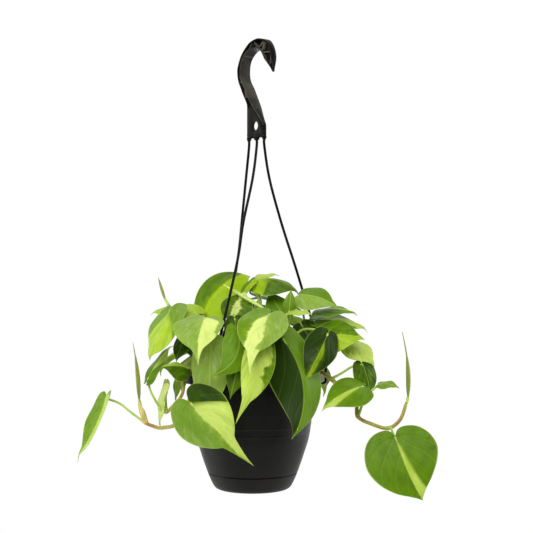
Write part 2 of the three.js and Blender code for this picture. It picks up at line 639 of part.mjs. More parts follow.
function blade(one) {
  const frame = bladeFrame(one);
  const edge = Array.from({ length: BLADE_ROWS + 1 }, (_, i) => outline.getPoint(i / BLADE_ROWS));
  const spots = [[0, 0]];
  const spot = (s, w) => spots.push([drawnOut(s, one), w * one.wide]) - 1;
  const midrib = edge.map(({ x }) => {
    const s = (x - MIDRIB_LAG) / (1 - MIDRIB_LAG);
    return s <= 0.01 ? 0 : spot(s, 0);
  });
  const last = BLADE_ROWS;
  const half = (sign) => edge.map(({ x, y }, i) => {
    if (i === 0) {
      return 0;
    }
    const kept = sign > 0 ? pinched(i / last, one.pinch) : 1;
    return i === last ? midrib[last] : spot(Math.max(x, 0) + Math.min(x, 0) * kept, sign * y * kept);
  });
  const left = half(1);
  const right = half(-1);
  const top = [];
  for (const [rim, flip] of [[left, false], [right, true]]) {
    for (let i = 0; i < last; i += 1) {
      for (const t of [[midrib[i], midrib[i + 1], rim[i + 1]], [midrib[i], rim[i + 1], rim[i]]]) {
        if (new Set(t).size === 3) {
          top.push(flip ? [t[0], t[2], t[1]] : t);
        }
      }
    }
  }
  const points = [];
  for (const side of [1, -1]) {
    for (const [s, w] of spots) {
      const { point, normal } = bladePoint(one, frame, s, w);
      points.push(point.addScaledVector(normal, (side * BLADE_THICK) / 2).toArray());
    }
  }
  const count = spots.length;
  const triangles = [];
  for (const [a, b, c] of top) {
    triangles.push([a, b, c], [a + count, c + count, b + count]);
  }
  const rim = [...left.slice(0, -1), ...right.slice(1).reverse()];
  rim.forEach((a, i) => {
    const b = rim[(i + 1) % rim.length];
    triangles.push([a, b, b + count], [a, b + count, a + count]);
  });
  return solidOf(points, triangles);
}

// The petiole rises from the stem, bends over and comes in along the blade's midrib.
function petiole(start, one) {
  const frame = bladeFrame(one);
  const from = new THREE.Vector3(...start);
  const straight = frame.foot.clone().sub(from);
  const reach = straight.length();
  straight.normalize();
  const rising = from.clone().addScaledVector(straight, PETIOLE_BEND * reach);
  rising.z += one.rise * reach;
  const turn = PETIOLE_SWING + PETIOLE_SWING_BY_RISE * Math.abs(one.rise);
  const arriving = frame.along.clone().multiplyScalar(turn).add(straight).normalize();
  const before = frame.foot.clone().addScaledVector(arriving, -PETIOLE_ENTRY * reach);
  before.addScaledVector(frame.up, -PETIOLE_SAG * reach);
  const end = bladePoint(one, frame, PETIOLE_END, 0).point;
  const way = [from, rising, before, end].map((p) => p.toArray());
  return tube(way, () => PETIOLE_RADIUS, PETIOLE_SIDES, PETIOLE_STEPS);
}

// A furled leaf: a slim spindle on a short stalk.
function furled(start, { base, tip, radius }) {
  const middle = base.map((v, i) => (v + tip[i]) / 2);
  const swell = (t) => Math.sin(Math.PI * Math.min(1, 0.15 + 0.85 * t)) ** 0.7;
  const girth = (t) => Math.max(FURLED_LEAST, radius * swell(t));
  const stalk = tube([start, base], () => PETIOLE_RADIUS + 0.1, PETIOLE_SIDES, 2);
  return tube([base, middle, tip], girth, STEM_SIDES, 6).add(stalk);
}

function vine({ stem, radius, leaves, spikes = [] }) {
  const main = tube(stem, () => radius, STEM_SIDES, stemSteps(stem));
  const blades = leaves.flatMap((one) => [petiole(stem[one.at], one), blade(one)]);
  const tips = spikes.map((one) => furled(stem[one.at], one));
  return joined([main, ...blades, ...tips]);
}

const group = new THREE.Group();
const [seatX, seatY, seatZ] = hookPoint(HOOK_SEAT[0], 0, HOOK_SEAT[1]);

function place(name, solid, material) {
  const geometry = geometryOf(solid);
  geometry.translate(-seatX, -seatY, -seatZ);
  const mesh = new THREE.Mesh(geometry, material);
  mesh.name = name;
  group.add(mesh);
}

place("pot", pot(), plastic);
place("saucer", saucer(), plastic);
place("soil", soil(), mix);
place("hook", hook(), plastic);
for (const one of STRANDS) {
  place(one.name, strand(one), plastic);
}
for (const one of VINES) {
  place(one.name, vine(one), foliage);
}

export default group;
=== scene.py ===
import math
import random
from typing import NamedTuple

import bpy
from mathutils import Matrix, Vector, noise

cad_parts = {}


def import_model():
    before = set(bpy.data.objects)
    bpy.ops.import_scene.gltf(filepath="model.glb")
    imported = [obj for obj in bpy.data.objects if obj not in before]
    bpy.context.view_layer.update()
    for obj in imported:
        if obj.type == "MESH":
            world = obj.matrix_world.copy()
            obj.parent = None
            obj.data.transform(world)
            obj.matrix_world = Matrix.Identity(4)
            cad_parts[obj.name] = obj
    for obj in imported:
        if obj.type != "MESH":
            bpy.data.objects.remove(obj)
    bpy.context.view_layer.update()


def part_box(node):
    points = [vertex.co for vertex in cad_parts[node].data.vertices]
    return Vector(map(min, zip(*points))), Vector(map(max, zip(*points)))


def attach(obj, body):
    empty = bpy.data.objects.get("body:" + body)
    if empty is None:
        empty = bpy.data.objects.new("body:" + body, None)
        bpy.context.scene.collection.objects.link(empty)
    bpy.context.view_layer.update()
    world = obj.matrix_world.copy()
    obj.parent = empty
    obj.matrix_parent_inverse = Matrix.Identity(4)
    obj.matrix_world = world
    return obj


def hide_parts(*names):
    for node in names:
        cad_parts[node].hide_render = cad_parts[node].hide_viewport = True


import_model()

# Places are written in millimetres from the middle of the pot's base, X right, Y to the back, Z up.
MM = 0.001
saucer_low, saucer_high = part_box("saucer")
POT_BASE = Vector(((saucer_low.x + saucer_high.x) / 2, (saucer_low.y + saucer_high.y) / 2, saucer_low.z))

SEED = 7
ROUND = 96  # sides of what is turned round the pot's axis
MERGE = (bpy.ops.mesh.remove_doubles, {"threshold": 0.00001})
FACE_OUT = (bpy.ops.mesh.normals_make_consistent, {"inside": False})
CLOSE = (bpy.ops.mesh.fill_holes, {"sides": 0})


def at(x, y, z):
    return POT_BASE + Vector((x, y, z)) * MM


# Selecting, joining and finishing objects


def only(*objects):
    """Selects these objects alone, with the first one active."""
    bpy.ops.object.select_all(action="DESELECT")
    for one in objects:
        one.select_set(True)
    bpy.context.view_layer.objects.active = objects[0]


def active():
    return bpy.context.view_layer.objects.active


def new_object(name, data):
    made = bpy.data.objects.new(name, data)
    bpy.context.scene.collection.objects.link(made)
    only(made)
    return made


def paint(piece, *materials):
    piece.data.materials.clear()
    for material in materials:
        piece.data.materials.append(material)


def settle(piece):
    """Moves the object's place, turn and size into its mesh."""
    only(piece)
    bpy.ops.object.transform_apply(location=True, rotation=True, scale=True)


def modify(piece, kind, **settings):
    """Adds a modifier and applies it."""
    only(piece)
    modifier = piece.modifiers.new(kind, kind)
    for key, value in settings.items():
        setattr(modifier, key, value)
    bpy.ops.object.modifier_apply(modifier=modifier.name)


def join(name, pieces):
    only(*pieces)
    if len(pieces) > 1:
        bpy.ops.object.join()
    active().name = name
    return active()


def edit(piece, *steps):
    """Runs mesh operators, each with its settings, on all of a piece in edit mode."""
    only(piece)
    bpy.ops.object.mode_set(mode="EDIT")
    for operator, settings in steps:
        bpy.ops.mesh.select_all(action="SELECT")
        operator(**settings)
    bpy.ops.object.mode_set(mode="OBJECT")


def smooth(piece, degrees=40):
    only(piece)
    bpy.ops.object.shade_smooth_by_angle(angle=math.radians(degrees))


def hand_in(piece, slot, *nodes):
    """The piece rides on the one body and stands for its nodes."""
    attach(piece, "root")
    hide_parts(*nodes)
    return piece


# Curves


def through(points, u, mirrored=True):
    """The point at u, counted in points, of the smooth curve through all the points."""
    last = len(points) - 1
    i = min(int(u), last - 1)
    f = u - i
    p1 = Vector(points[i])
    p2 = Vector(points[i + 1])
    first = 2 * p1 - p2 if mirrored else p1
    final = 2 * p2 - p1 if mirrored else p2
    p0 = Vector(points[i - 1]) if i > 0 else first
    p3 = Vector(points[i + 2]) if i + 2 <= last else final
    a = 2 * p1
    b = (p2 - p0) * f
    c = (2 * p0 - 5 * p1 + 4 * p2 - p3) * f * f
    d = (3 * p1 - p0 - 3 * p2 + p3) * f * f * f
    return (a + b + c + d) / 2


def sampled(points, steps, mirrored=True):
    last = len(points) - 1
    return [through(points, last * i / steps, mirrored) for i in range(steps + 1)]


def tubes(name, ways, material, resolution=3):
    """Round rods along ways, each a list of places in millimetres and a list of radii."""
    curve = bpy.data.curves.new(name, "CURVE")
    curve.dimensions = "3D"
    curve.bevel_depth = 1.0
    curve.bevel_resolution = resolution
    for places, radii in ways:
        spline = curve.splines.new("POLY")
        spline.points.add(len(places) - 1)
        for point, place, radius in zip(spline.points, places, radii):
            point.co = (*at(*place), 1)
            point.radius = radius * MM
    new_object(name, curve)
    bpy.ops.object.convert(target="MESH")
    piece = active()
    edit(piece, CLOSE, FACE_OUT)
    paint(piece, material)
    return piece


def turned(name, profile, material):
    """A closed outline of radius and height, which starts and ends on the axis, spun round it."""
    mesh = bpy.data.meshes.new(name)
    edges = [(i, i + 1) for i in range(len(profile) - 1)]
    mesh.from_pydata([at(r, 0, z) for r, z in profile], edges, [])
    piece = new_object(name, mesh)
    spin = {"steps": ROUND, "angle": 2 * math.pi, "center": at(0, 0, 0), "axis": (0, 0, 1)}
    edit(piece, (bpy.ops.mesh.spin, spin), MERGE, FACE_OUT)
    paint(piece, material)
    smooth(piece)
    return piece


# Shader nodes


class Signal:
    """An output of a shader node, which can be added, subtracted and multiplied like a number."""

    def __init__(self, web, socket):
        self.web = web
        self.socket = socket

    def __add__(self, other):
        return self.web.math("ADD", self, other)

    def __radd__(self, other):
        return self.web.math("ADD", other, self)

    def __sub__(self, other):
        return self.web.math("SUBTRACT", self, other)

    def __rsub__(self, other):
        return self.web.math("SUBTRACT", other, self)

    def __mul__(self, other):
        return self.web.math("MULTIPLY", self, other)

    def clamped(self):
        """The sum, difference or product kept between 0 and 1."""
        self.socket.node.use_clamp = True
        return self


class Web:
    """Adds nodes to one node tree; an input is given either a value or a signal."""

    def __init__(self, tree):
        self.tree = tree

    def plug(self, socket, value):
        if isinstance(value, Signal):
            self.tree.links.new(value.socket, socket)
        else:
            socket.default_value = value

    def node(self, kind, given=None, **settings):
        """A new node with its settings, and with its inputs given by name or number."""
        made = self.tree.nodes.new(kind)
        for key, value in settings.items():
            setattr(made, key, value)
        for socket, value in (given or {}).items():
            self.plug(made.inputs[socket], value)
        return made

    def signal(self, kind, output, given=None, **settings):
        """One output of a new node."""
        return Signal(self, self.node(kind, given, **settings).outputs[output])

    def signals(self, made):
        """All outputs of a node by name."""
        return {output.name: Signal(self, output) for output in made.outputs}

    def math(self, operation, a, b=0.0):
        return self.signal("ShaderNodeMath", 0, {0: a, 1: b}, operation=operation)

    def step(self, value, low, high, start=0.0, end=1.0):
        """start below low, end above high and smooth between."""
        given = {"Value": value, "From Min": low, "From Max": high, "To Min": start, "To Max": end}
        return self.signal("ShaderNodeMapRange", 0, given, interpolation_type="SMOOTHSTEP")

    def blend(self, share, a, b):
        """Numbers a and b mixed by share."""
        return self.signal("ShaderNodeMix", 0, {0: share, 2: a, 3: b}, data_type="FLOAT")

    def mix(self, share, a, b, kind="MIX"):
        """Colours a and b mixed by share."""
        given = {0: share, 6: a, 7: b}
        return self.signal("ShaderNodeMix", 2, given, data_type="RGBA", blend_type=kind)

    def vector(self, x, y, z):
        return self.signal("ShaderNodeCombineXYZ", 0, {0: x, 1: y, 2: z})

    def split(self, vector):
        return self.signals(self.node("ShaderNodeSeparateXYZ", {0: vector})).values()

    def noise(self, vector, scale, detail=2.0, roughness=0.5):
        given = {"Vector": vector, "Scale": scale, "Detail": detail, "Roughness": roughness}
        return self.signal("ShaderNodeTexNoise", "Fac", given)

    def place(self, scale=(1, 1, 1)):
        """Object coordinates, stretched."""
        given = {"Vector": self.signal("ShaderNodeTexCoord", "Object"), "Scale": scale}
        return self.signal("ShaderNodeMapping", 0, given)

    def attribute(self, name):
        return self.split(self.signal("ShaderNodeAttribute", "Vector", attribute_name=name))

    def bump(self, height, strength, depth):
        given = {"Height": height, "Strength": strength, "Distance": depth}
        return self.signal("ShaderNodeBump", 0, given)

    def use(self, group, **given):
        inputs = {name.replace("_", " "): value for name, value in given.items()}
        return self.signals(self.node("ShaderNodeGroup", inputs, node_tree=group))


def group(name, inputs, outputs):
    """A node group of numbers; returns its tree, its web, its inputs and a way to set an output."""
    tree = bpy.data.node_groups.new(name, "ShaderNodeTree")
    socket = tree.interface.new_socket
    for label, value in inputs.items():
        socket(label, in_out="INPUT", socket_type="NodeSocketFloat").default_value = value
    for label in outputs:
        socket(label, in_out="OUTPUT", socket_type="NodeSocketFloat")
    web = Web(tree)
    given = web.signals(web.node("NodeGroupInput"))
    result = web.node("NodeGroupOutput").inputs
    return tree, web, given, lambda label, value: web.plug(result[label], value)


def material(name, **uniform):
    """A new material with one Principled BSDF; returns the material, its web and the shader's inputs."""
    made = bpy.data.materials.new(name)
    made.use_nodes = True
    web = Web(made.node_tree)
    shader = made.node_tree.nodes["Principled BSDF"]
    for label, value in uniform.items():
        shader.inputs[label.replace("_", " ")].default_value = value
    return made, web, shader.inputs


def rgb(red, green, blue):
    """A colour given as it looks on a screen, from 0 to 255."""
    def linear(value):
        share = value / 255
        return share / 12.92 if share <= 0.04045 else ((share + 0.055) / 1.055) ** 2.4
    return (linear(red), linear(green), linear(blue), 1.0)


# Moulded plastic: near black, satin, with a fine grain, flow streaks and a film of dust; lighter copies
# paint a sheen on the hook's inner flange and a highlight on its ribs


def moulded_surface():
    """The grain, streaks and dust that all the black plastic shares; on the hook's inner flange the dust
    mask also places a painted sheen.
    """
    tree, web, given, put = group(
        "moulded surface",
        {"Streak Height": 1.0, "Streak Scale": 90.0},
        ("Dust", "Grain", "Shine"),
    )
    place = web.place()
    x, y, z = web.split(place)
    grain = web.noise(place, 2600.0, 2.0)
    rings = web.noise(web.vector(x * 4.0, y * 4.0, z * given["Streak Scale"]), 11.0, 3.0, 0.6)
    cloud = web.noise(place, 22.0, 3.0, 0.6)
    put("Dust", web.step(cloud + grain * 0.25, 0.5, 0.86))
    put("Grain", grain * 0.35 + rings * given["Streak Height"])
    put("Shine", cloud * 0.6 + rings * 0.4)
    return tree


MOULDED = moulded_surface()


def plastic(name, tone, dust_and_sheen_tone, rough, streak_height, streak_scale, depth, gloss=0.12):
    made, web, shader = material(name, Specular_IOR_Level=gloss)
    surface = web.use(MOULDED, Streak_Height=streak_height, Streak_Scale=streak_scale)
    # the dust mask mixes in a second tone: dust on the pot and hanger, a lighter grey that paints sheen
    # on the inner flange and the ribs
    web.plug(shader["Base Color"], web.mix(surface["Dust"], tone, dust_and_sheen_tone))
    web.plug(shader["Roughness"], web.step(surface["Shine"], 0.25, 0.75, *rough))
    web.plug(shader["Normal"], web.bump(surface["Grain"], 0.35, depth))
    return made


# Foliage: the markings are worked out once from the blade's own coordinates

VEINS = 9  # lateral veins on each side of the midrib
VEIN_LEAN = 0.22  # how far they run forward towards the edge


def leaf_markings():
    """Masks of a blade: the flame, its feathered edge, midrib, veins, margin, mottling, the painted sheen
    and the sign of each half, which the painted shade uses.
    """
    tree, web, given, put = group(
        "leaf markings",
        {"Vein Count": VEINS},
        ("Flame", "Feather", "Midrib", "Veins", "Ribbing", "Margin", "Mottle", "Silver", "Side"),
    )
    across, along, seed = web.attribute("leaf vein")
    left, right, ragged = web.attribute("leaf flame")
    start, end, grow = web.attribute("leaf flow")
    lateral, share, half = web.attribute("leaf span")

    side = web.math("GREATER_THAN", across, 0.0)
    outward = web.math("ABSOLUTE", across)
    distance = web.math("ABSOLUTE", lateral)
    leaning = along - outward * VEIN_LEAN
    shift = seed * 37.0
    flank = shift + side * 11.0

    def drawn(way, long, wide, detail, roughness=0.5):
        """Noise drawn out across the blade, and another on each half."""
        return web.noise(web.vector(way * long, across * wide, flank), 1.0, detail, roughness)

    # the flame: its two halves, where it starts and ends, its lobes and its torn edge
    reach = web.blend(side, left, right)
    front = along - outward * 0.12
    begun = web.step(front, start, start + 0.07)
    ended = web.step(along, end - 0.14, end, 1.0, 0.0)
    lasting = begun * ended
    present = web.math("GREATER_THAN", reach, 0.0) * lasting
    swell = 1.0 + grow * (share - 0.5)
    lobes = drawn(along, 6.5, 0.9, 1.0) - 0.5
    streaks = drawn(along, 46.0, 2.2, 2.0) - 0.5
    wander = lobes * 1.15 + streaks * 0.42
    inside = reach * swell * lasting + wander * ragged - distance
    marble = drawn(leaning, 15.0, 1.3, 3.0, 0.6)
    broken = (web.step(marble, 0.48, 0.72) * (ragged * 0.6)).clamped()
    put("Flame", web.step(inside, -0.04, 0.07) * present * (1.0 - broken))
    loose = (ragged * 2.5).clamped()
    fringe = inside + streaks * (loose * 0.9)
    put("Feather", web.step(fringe, -0.3, 0.1) * present * loose)
    # painted sheen: fine pale streaks between the veins stand in for the blade's satin highlights
    put("Silver", web.step(drawn(leaning, 44.0, 2.6, 3.0, 0.65), 0.46, 0.74))

    # ribs, veins and edge, and the cloudy green between them
    put("Midrib", web.step(distance * half, 0.25, 0.55 + half * 0.02, 1.0, 0.0))
    bend = web.noise(web.vector(along * 3.0, across, flank), 2.0, 1.0) * 0.2
    phase = (leaning * given["Vein Count"] + bend) * math.pi
    wave = web.math("ABSOLUTE", web.math("SINE", phase))
    put("Veins", web.step(wave, 0.0, 0.16, 1.0, 0.0))
    put("Ribbing", web.step(wave, 0.0, 0.7) + web.math("SINE", phase * 7.0) * 0.08)
    # the sign of each half, by which lean paints shade on one half
    put("Side", side * 2.0 - 1.0)
    put("Margin", web.step(outward, 0.955, 0.985))
    put("Mottle", web.noise(web.vector(lateral * 3.0, share * 4.0, shift), 1.0, 3.0, 0.6))
    return tree


MARKINGS = leaf_markings()
LIGHT_GREEN = rgb(146, 177, 68)
MID_GREEN = rgb(104, 144, 14)
DEEP_GREEN = rgb(36, 60, 4)
LIME = rgb(162, 194, 20)
CREAM = rgb(224, 238, 140)
# the colour of the painted sheen on the greens
PAINTED_SHEEN = rgb(190, 208, 150)
PALE_RIB = rgb(180, 204, 84)
UNDER_GREEN = rgb(150, 176, 104)
WARMED = (1.0, 0.95, 0.35, 1.0)  # how a blade tints the light that it lets through
LIGHT_THROUGH = 0.3  # share of the light that a blade lets through


def blade_skin(name, rough, under):
    """Blade material; under is how far its colours go towards the paler, duller lower side."""
    made, web, shader = material(name, Specular_IOR_Level=0.13)
    marks = web.use(MARKINGS, Vein_Count=VEINS)
    dark, pale, lean = web.attribute("leaf tone")
    mottle = marks["Mottle"] - 0.5
    # lean paints shade: one half gets a deeper green, standing in for the shade on the half of a folded
    # leaf that faces away from the light
    depth = (dark + mottle * 0.5 + lean * marks["Side"]).clamped()
    green = web.mix(web.step(depth, 0.0, 0.5), LIGHT_GREEN, MID_GREEN)
    green = web.mix(web.step(depth, 0.45, 1.0), green, DEEP_GREEN)
    green = web.mix(marks["Veins"] * web.step(depth, 0.3, 1.0, 0.3, 0.1), green, LIGHT_GREEN)
    # painted sheen: silvery streaks on the paler greens, and creamier streaks on the flame below, stand
    # in for highlights
    green = web.mix(marks["Silver"] * web.step(depth, 0.05, 0.5, 0.5, 0.0), green, PAINTED_SHEEN)
    mottled = mottle * 0.7
    flame = web.mix((pale + mottled).clamped(), LIME, CREAM)
    flame = web.mix(web.step(pale + mottled, -0.6, -0.05, 1.0, 0.0), flame, MID_GREEN)
    flame = web.mix(marks["Silver"] * (pale * 0.4).clamped(), flame, CREAM)
    flame = web.mix(marks["Veins"] * 0.12, flame, LIGHT_GREEN)
    colour = web.mix(marks["Feather"] * 0.34, green, LIME)
    colour = web.mix(marks["Flame"], colour, flame)
    bright_rib = web.mix((marks["Flame"] * pale).clamped(), PALE_RIB, CREAM)
    colour = web.mix(marks["Midrib"] * web.step(dark, 0.0, 1.0, 0.7, 0.25), colour, bright_rib)
    colour = web.mix(marks["Margin"] * 0.5, colour, PALE_RIB)
    colour = web.mix(under, colour, UNDER_GREEN)
    web.plug(shader["Base Color"], colour)
    web.plug(shader["Roughness"], web.step(marks["Mottle"], 0.2, 0.8, *rough))
    relief = marks["Ribbing"] * 0.5 - marks["Midrib"] * 0.4 + web.noise(web.place(), 700.0, 2.0) * 0.06
    web.plug(shader["Normal"], web.bump(relief, 0.6, 0.0007))
    sunlit = web.mix(1.0, colour, WARMED, "MULTIPLY")
    through_light = web.signal("ShaderNodeBsdfTranslucent", 0, {"Color": sunlit})
    nodes = made.node_tree.nodes
    front = Signal(web, nodes["Principled BSDF"].outputs[0])
    both = web.signal("ShaderNodeMixShader", 0, {0: LIGHT_THROUGH, 1: front, 2: through_light})
    web.plug(nodes["Material Output"].inputs["Surface"], both)
    return made


def stalk(name, fresh, aged, rough):
    """Stems and petioles: long streaks of a fresher and an older colour."""
    made, web, shader = material(name, IOR=1.45)
    streak = web.noise(web.place((1.0, 1.0, 0.25)), 260.0, 3.0, 0.6)
    patch = web.noise(web.place(), 45.0, 2.0)
    share = web.step(streak * 0.5 + patch * 0.8, 0.58, 0.88)
    web.plug(shader["Base Color"], web.mix(share, fresh, aged))
    web.plug(shader["Roughness"], web.step(streak, 0.3, 0.7, *rough))
    web.plug(shader["Normal"], web.bump(streak, 0.4, 0.0004))
    return made


def rolled(name, edge, seam):
    """A rolled young leaf, with another colour along the lap, most of all in its lower part."""
    made, web, shader = material(name, IOR=1.45)
    turn, along, _ = web.attribute("leaf vein")
    streak = web.noise(web.vector(turn * 14.0, along, 0.0), 2.0, 2.0)
    lap = web.step(web.math("ABSOLUTE", turn - 0.45), 0.03, 0.14, 1.0, 0.0)
    fading = web.step(along, 0.35, 0.85, 1.0, 0.25)
    share = ((lap + (streak - 0.4)) * fading).clamped()
    web.plug(shader["Base Color"], web.mix(share, edge, seam))
    web.plug(shader["Roughness"], web.step(streak, 0.3, 0.7, 0.36, 0.5))
    web.plug(shader["Normal"], web.bump(streak, 0.3, 0.0004))
    return made


def peat():
    made, web, shader = material("potting mix", IOR=1.4)
    clod = web.noise(web.place(), 160.0, 4.0, 0.65)
    fibre = web.noise(web.place((1.0, 0.3, 1.0)), 900.0, 3.0, 0.6)
    colour = web.mix(web.step(clod, 0.35, 0.65), rgb(38, 26, 18), rgb(88, 62, 42))
    colour = web.mix(web.step(fibre, 0.58, 0.72), colour, rgb(128, 98, 66))
    web.plug(shader["Base Color"], colour)
    web.plug(shader["Roughness"], web.step(fibre, 0.2, 0.8, 0.85, 1.0))
    web.plug(shader["Normal"], web.bump(clod + fibre * 0.5, 0.9, 0.0015))
    return made


# roughness of the shiniest and the dullest places, height and scale of streaks, depth of relief
POT_FINISH = ((0.34, 0.46), 1.4, 95.0, 0.0002)
HANGER_FINISH = ((0.3, 0.5), 0.4, 18.0, 0.0003)
pot_plastic = plastic("pot plastic", rgb(7, 7, 5), rgb(16, 15, 12), *POT_FINISH, 0.13)
hanger_plastic = plastic("hanger plastic", rgb(8, 8, 6), rgb(24, 22, 18), *HANGER_FINISH, 0.06)
# dust patches in a lighter grey on the inner flange, which also paint the sheen that its face catches
flange_dust_and_sheen_plastic = plastic("hanger flange plastic with dust and painted sheen", rgb(12, 11, 10), rgb(60, 57, 51), *HANGER_FINISH, 0.1)
# painted highlight: the ribs get a lighter copy of the hanger plastic, standing in for the light that
# their edges catch
rib_highlight_plastic = plastic("hanger rib plastic with painted highlight", rgb(52, 50, 44), rgb(84, 80, 70), *HANGER_FINISH)
upper_side = blade_skin("leaf upper side", (0.34, 0.48), 0.0)
under_side = blade_skin("leaf under side", (0.55, 0.7), 0.3)
stem_skin = stalk("stem skin", rgb(150, 148, 56), rgb(146, 104, 40), (0.42, 0.6))
petiole_skin = stalk("petiole skin", rgb(158, 186, 74), rgb(128, 158, 50), (0.34, 0.5))
sheath_skin = stalk("dry sheath", rgb(206, 198, 128), rgb(176, 156, 84), (0.6, 0.8))
young_roll = rolled("young leaf", rgb(96, 126, 40), rgb(168, 136, 46))
pale_roll = rolled("pale young leaf", rgb(196, 216, 112), rgb(150, 180, 70))
soil_mix = peat()


# Pot and saucer

WALL = 1.6
POT_HEIGHT = 130
RIM_RADIUS = 80
RIM_DEPTH = 10
RIM_INSIDE = 69.4
SEAM_HEIGHT = 18
SEAM_GAP = 0.3
SAUCER_FLOOR = 1.8
FLOOR_TOP = 6.8
POT_SIDE = [(50.8, 19.7), (54.9, 31), (58.5, 42), (62.6, 55.4), (65.3, 71), (67.4, 91), (70, 118.6)]
SAUCER_SIDE = [(36.5, 0), (39.8, 0.7), (42.6, 2.6), (44.8, 6), (47.7, 12), (50.2, SEAM_HEIGHT)]
# height of each faint ring and how far it stands out
RIDGES = {108.6: 0.3, 73: 0.34, 64.4: 0.3, 88: 0.16}
RIDGE_WIDTH = 0.4
RIM_ROUNDINGS = {1: 0.6, 2: 0.6, 3: 0.5, 4: 0.7, 5: 1.6, 6: 1.2}  # radius at each corner
SIDE_STEPS = 150
POT_FLOOR = [(46, 19), (40, FLOOR_TOP + 1.6), (38.4, FLOOR_TOP), (0, FLOOR_TOP)]
SAUCER_INSIDE = [(40.6, SAUCER_FLOOR + 1.4), (39.5, SAUCER_FLOOR), (0, SAUCER_FLOOR)]


def rounded(corner, before, after, radius, steps=4):
    """Points of a rounded corner between two neighbours of an outline."""
    c = Vector(corner)
    a = c + (Vector(before) - c).normalized() * radius
    b = c + (Vector(after) - c).normalized() * radius
    shares = [i / steps for i in range(steps + 1)]
    return [tuple((1 - t) ** 2 * a + 2 * t * (1 - t) * c + t * t * b) for t in shares]


def softened(outline, radii):
    """The outline with the corners that radii names, by number, rounded."""
    result = []
    for i, corner in enumerate(outline):
        if i in radii:
            result += rounded(corner, outline[i - 1], outline[i + 1], radii[i])
        else:
            result.append(corner)
    return result


def pot():
    side = []
    for r, z in sampled(POT_SIDE, SIDE_STEPS, False):
        ridges = [tall * math.exp(-((z - height) / RIDGE_WIDTH) ** 2) for height, tall in RIDGES.items()]
        side.append((r + sum(ridges), z))
    inner = [(r - WALL, z + 1) for r, z in sampled(POT_SIDE, 12, False)]
    skirt = RIM_RADIUS - WALL
    under_rim = POT_HEIGHT - RIM_DEPTH
    foot = SAUCER_FLOOR + SEAM_GAP
    rim = softened(
        [
            side[-1], (RIM_INSIDE + 0.8, POT_HEIGHT - WALL), (skirt, POT_HEIGHT - WALL),
            (skirt, under_rim), (RIM_RADIUS, under_rim), (RIM_RADIUS, POT_HEIGHT),
            (RIM_INSIDE - 0.6, POT_HEIGHT), inner[-1],
        ],
        RIM_ROUNDINGS,
    )
    profile = [(0, foot + 3), (28, foot + 3), (29, foot), (39, foot), (40.7, foot + 2.3)]
    profile += [(r - WALL - 0.5, z + SEAM_GAP) for r, z in SAUCER_SIDE[3:]]
    profile += [(49.3, SEAM_HEIGHT + SEAM_GAP), (49.4, SEAM_HEIGHT + 1), (50.5, SEAM_HEIGHT + 1.4)]
    profile += side[:-1] + rim + inner[-2::-1] + POT_FLOOR
    return hand_in(turned("pot_body", profile, pot_plastic), "black_plastic", "pot")


def saucer():
    outer = [tuple(p) for p in sampled(SAUCER_SIDE, 30, False)]
    inside = [(r - WALL, z) for r, z in sampled(SAUCER_SIDE[3:], 10, False)]
    edge = rounded(outer[-1], outer[-4], inside[-1], 0.5)
    outline = [(0, 0)] + outer[:-1] + edge + inside[-2::-1] + SAUCER_INSIDE
    return hand_in(turned("drip_saucer", outline, pot_plastic), "black_plastic", "saucer")


# Soil: a filled core with an uneven top and crumbs of peat and bark strewn on it

SOIL_TOP = 116
SOIL_EDGE = 67.2
SOIL_RINGS = 24
LARGE_BUMPS = (0.045, 2.6)  # how close together they are and how high
SMALL_BUMPS = (0.21, 1.3)
CRUMBS = 420


def bumps(x, y, layer, close, high):
    return noise.noise(Vector((x, y, layer)) * close) * high


def soil_height(x, y):
    return SOIL_TOP + bumps(x, y, 0, *LARGE_BUMPS) + bumps(x, y, 9, *SMALL_BUMPS)


def crumb(template, place, size, turn):
    copy = new_object("crumb", template.data.copy())
    copy.scale = size
    copy.rotation_euler = turn
    copy.location = at(*place)
    settle(copy)
    return copy


def soil():
    rings = [(SOIL_EDGE * i / SOIL_RINGS, SOIL_TOP) for i in range(SOIL_RINGS, -1, -1)]
    core = [(0, FLOOR_TOP + 0.3), (37.6, FLOOR_TOP + 0.3), (45.4, 19)]
    core += [(r - WALL - 0.65, z + 1.3) for r, z in POT_SIDE[:-1]]
    body = turned("soil_core", core + rings, soil_mix)
    for vertex in body.data.vertices:
        x, y, z = (vertex.co - POT_BASE) / MM
        if z > SOIL_TOP - 1:
            vertex.co = at(x, y, soil_height(x, y))
    bpy.ops.mesh.primitive_ico_sphere_add(subdivisions=1, radius=MM)
    template = active()
    chance = random.Random(SEED)
    for vertex in template.data.vertices:
        vertex.co *= chance.uniform(0.7, 1.15)
    paint(template, soil_mix)
    crumbs = []
    for _ in range(CRUMBS):
        bearing = chance.uniform(0, 2 * math.pi)
        reach = SOIL_EDGE * math.sqrt(chance.uniform(0, 0.97))
        x = reach * math.cos(bearing)
        y = reach * math.sin(bearing)
        big = 0.6 + 2.0 * chance.random() ** 3
        size = (big * chance.uniform(0.8, 1.8), big, big * chance.uniform(0.4, 0.9))
        turn = [chance.uniform(0, math.pi) for _ in range(3)]
        crumbs.append(crumb(template, (x, y, soil_height(x, y) + 0.2 * big), size, turn))
    bpy.data.objects.remove(template)
    return hand_in(join("soil_filling", [body] + crumbs), "potting_mix", "soil")


# Hanger: a hook with an I section and zigzag ribs, its plate, and three strands clipped to the rim

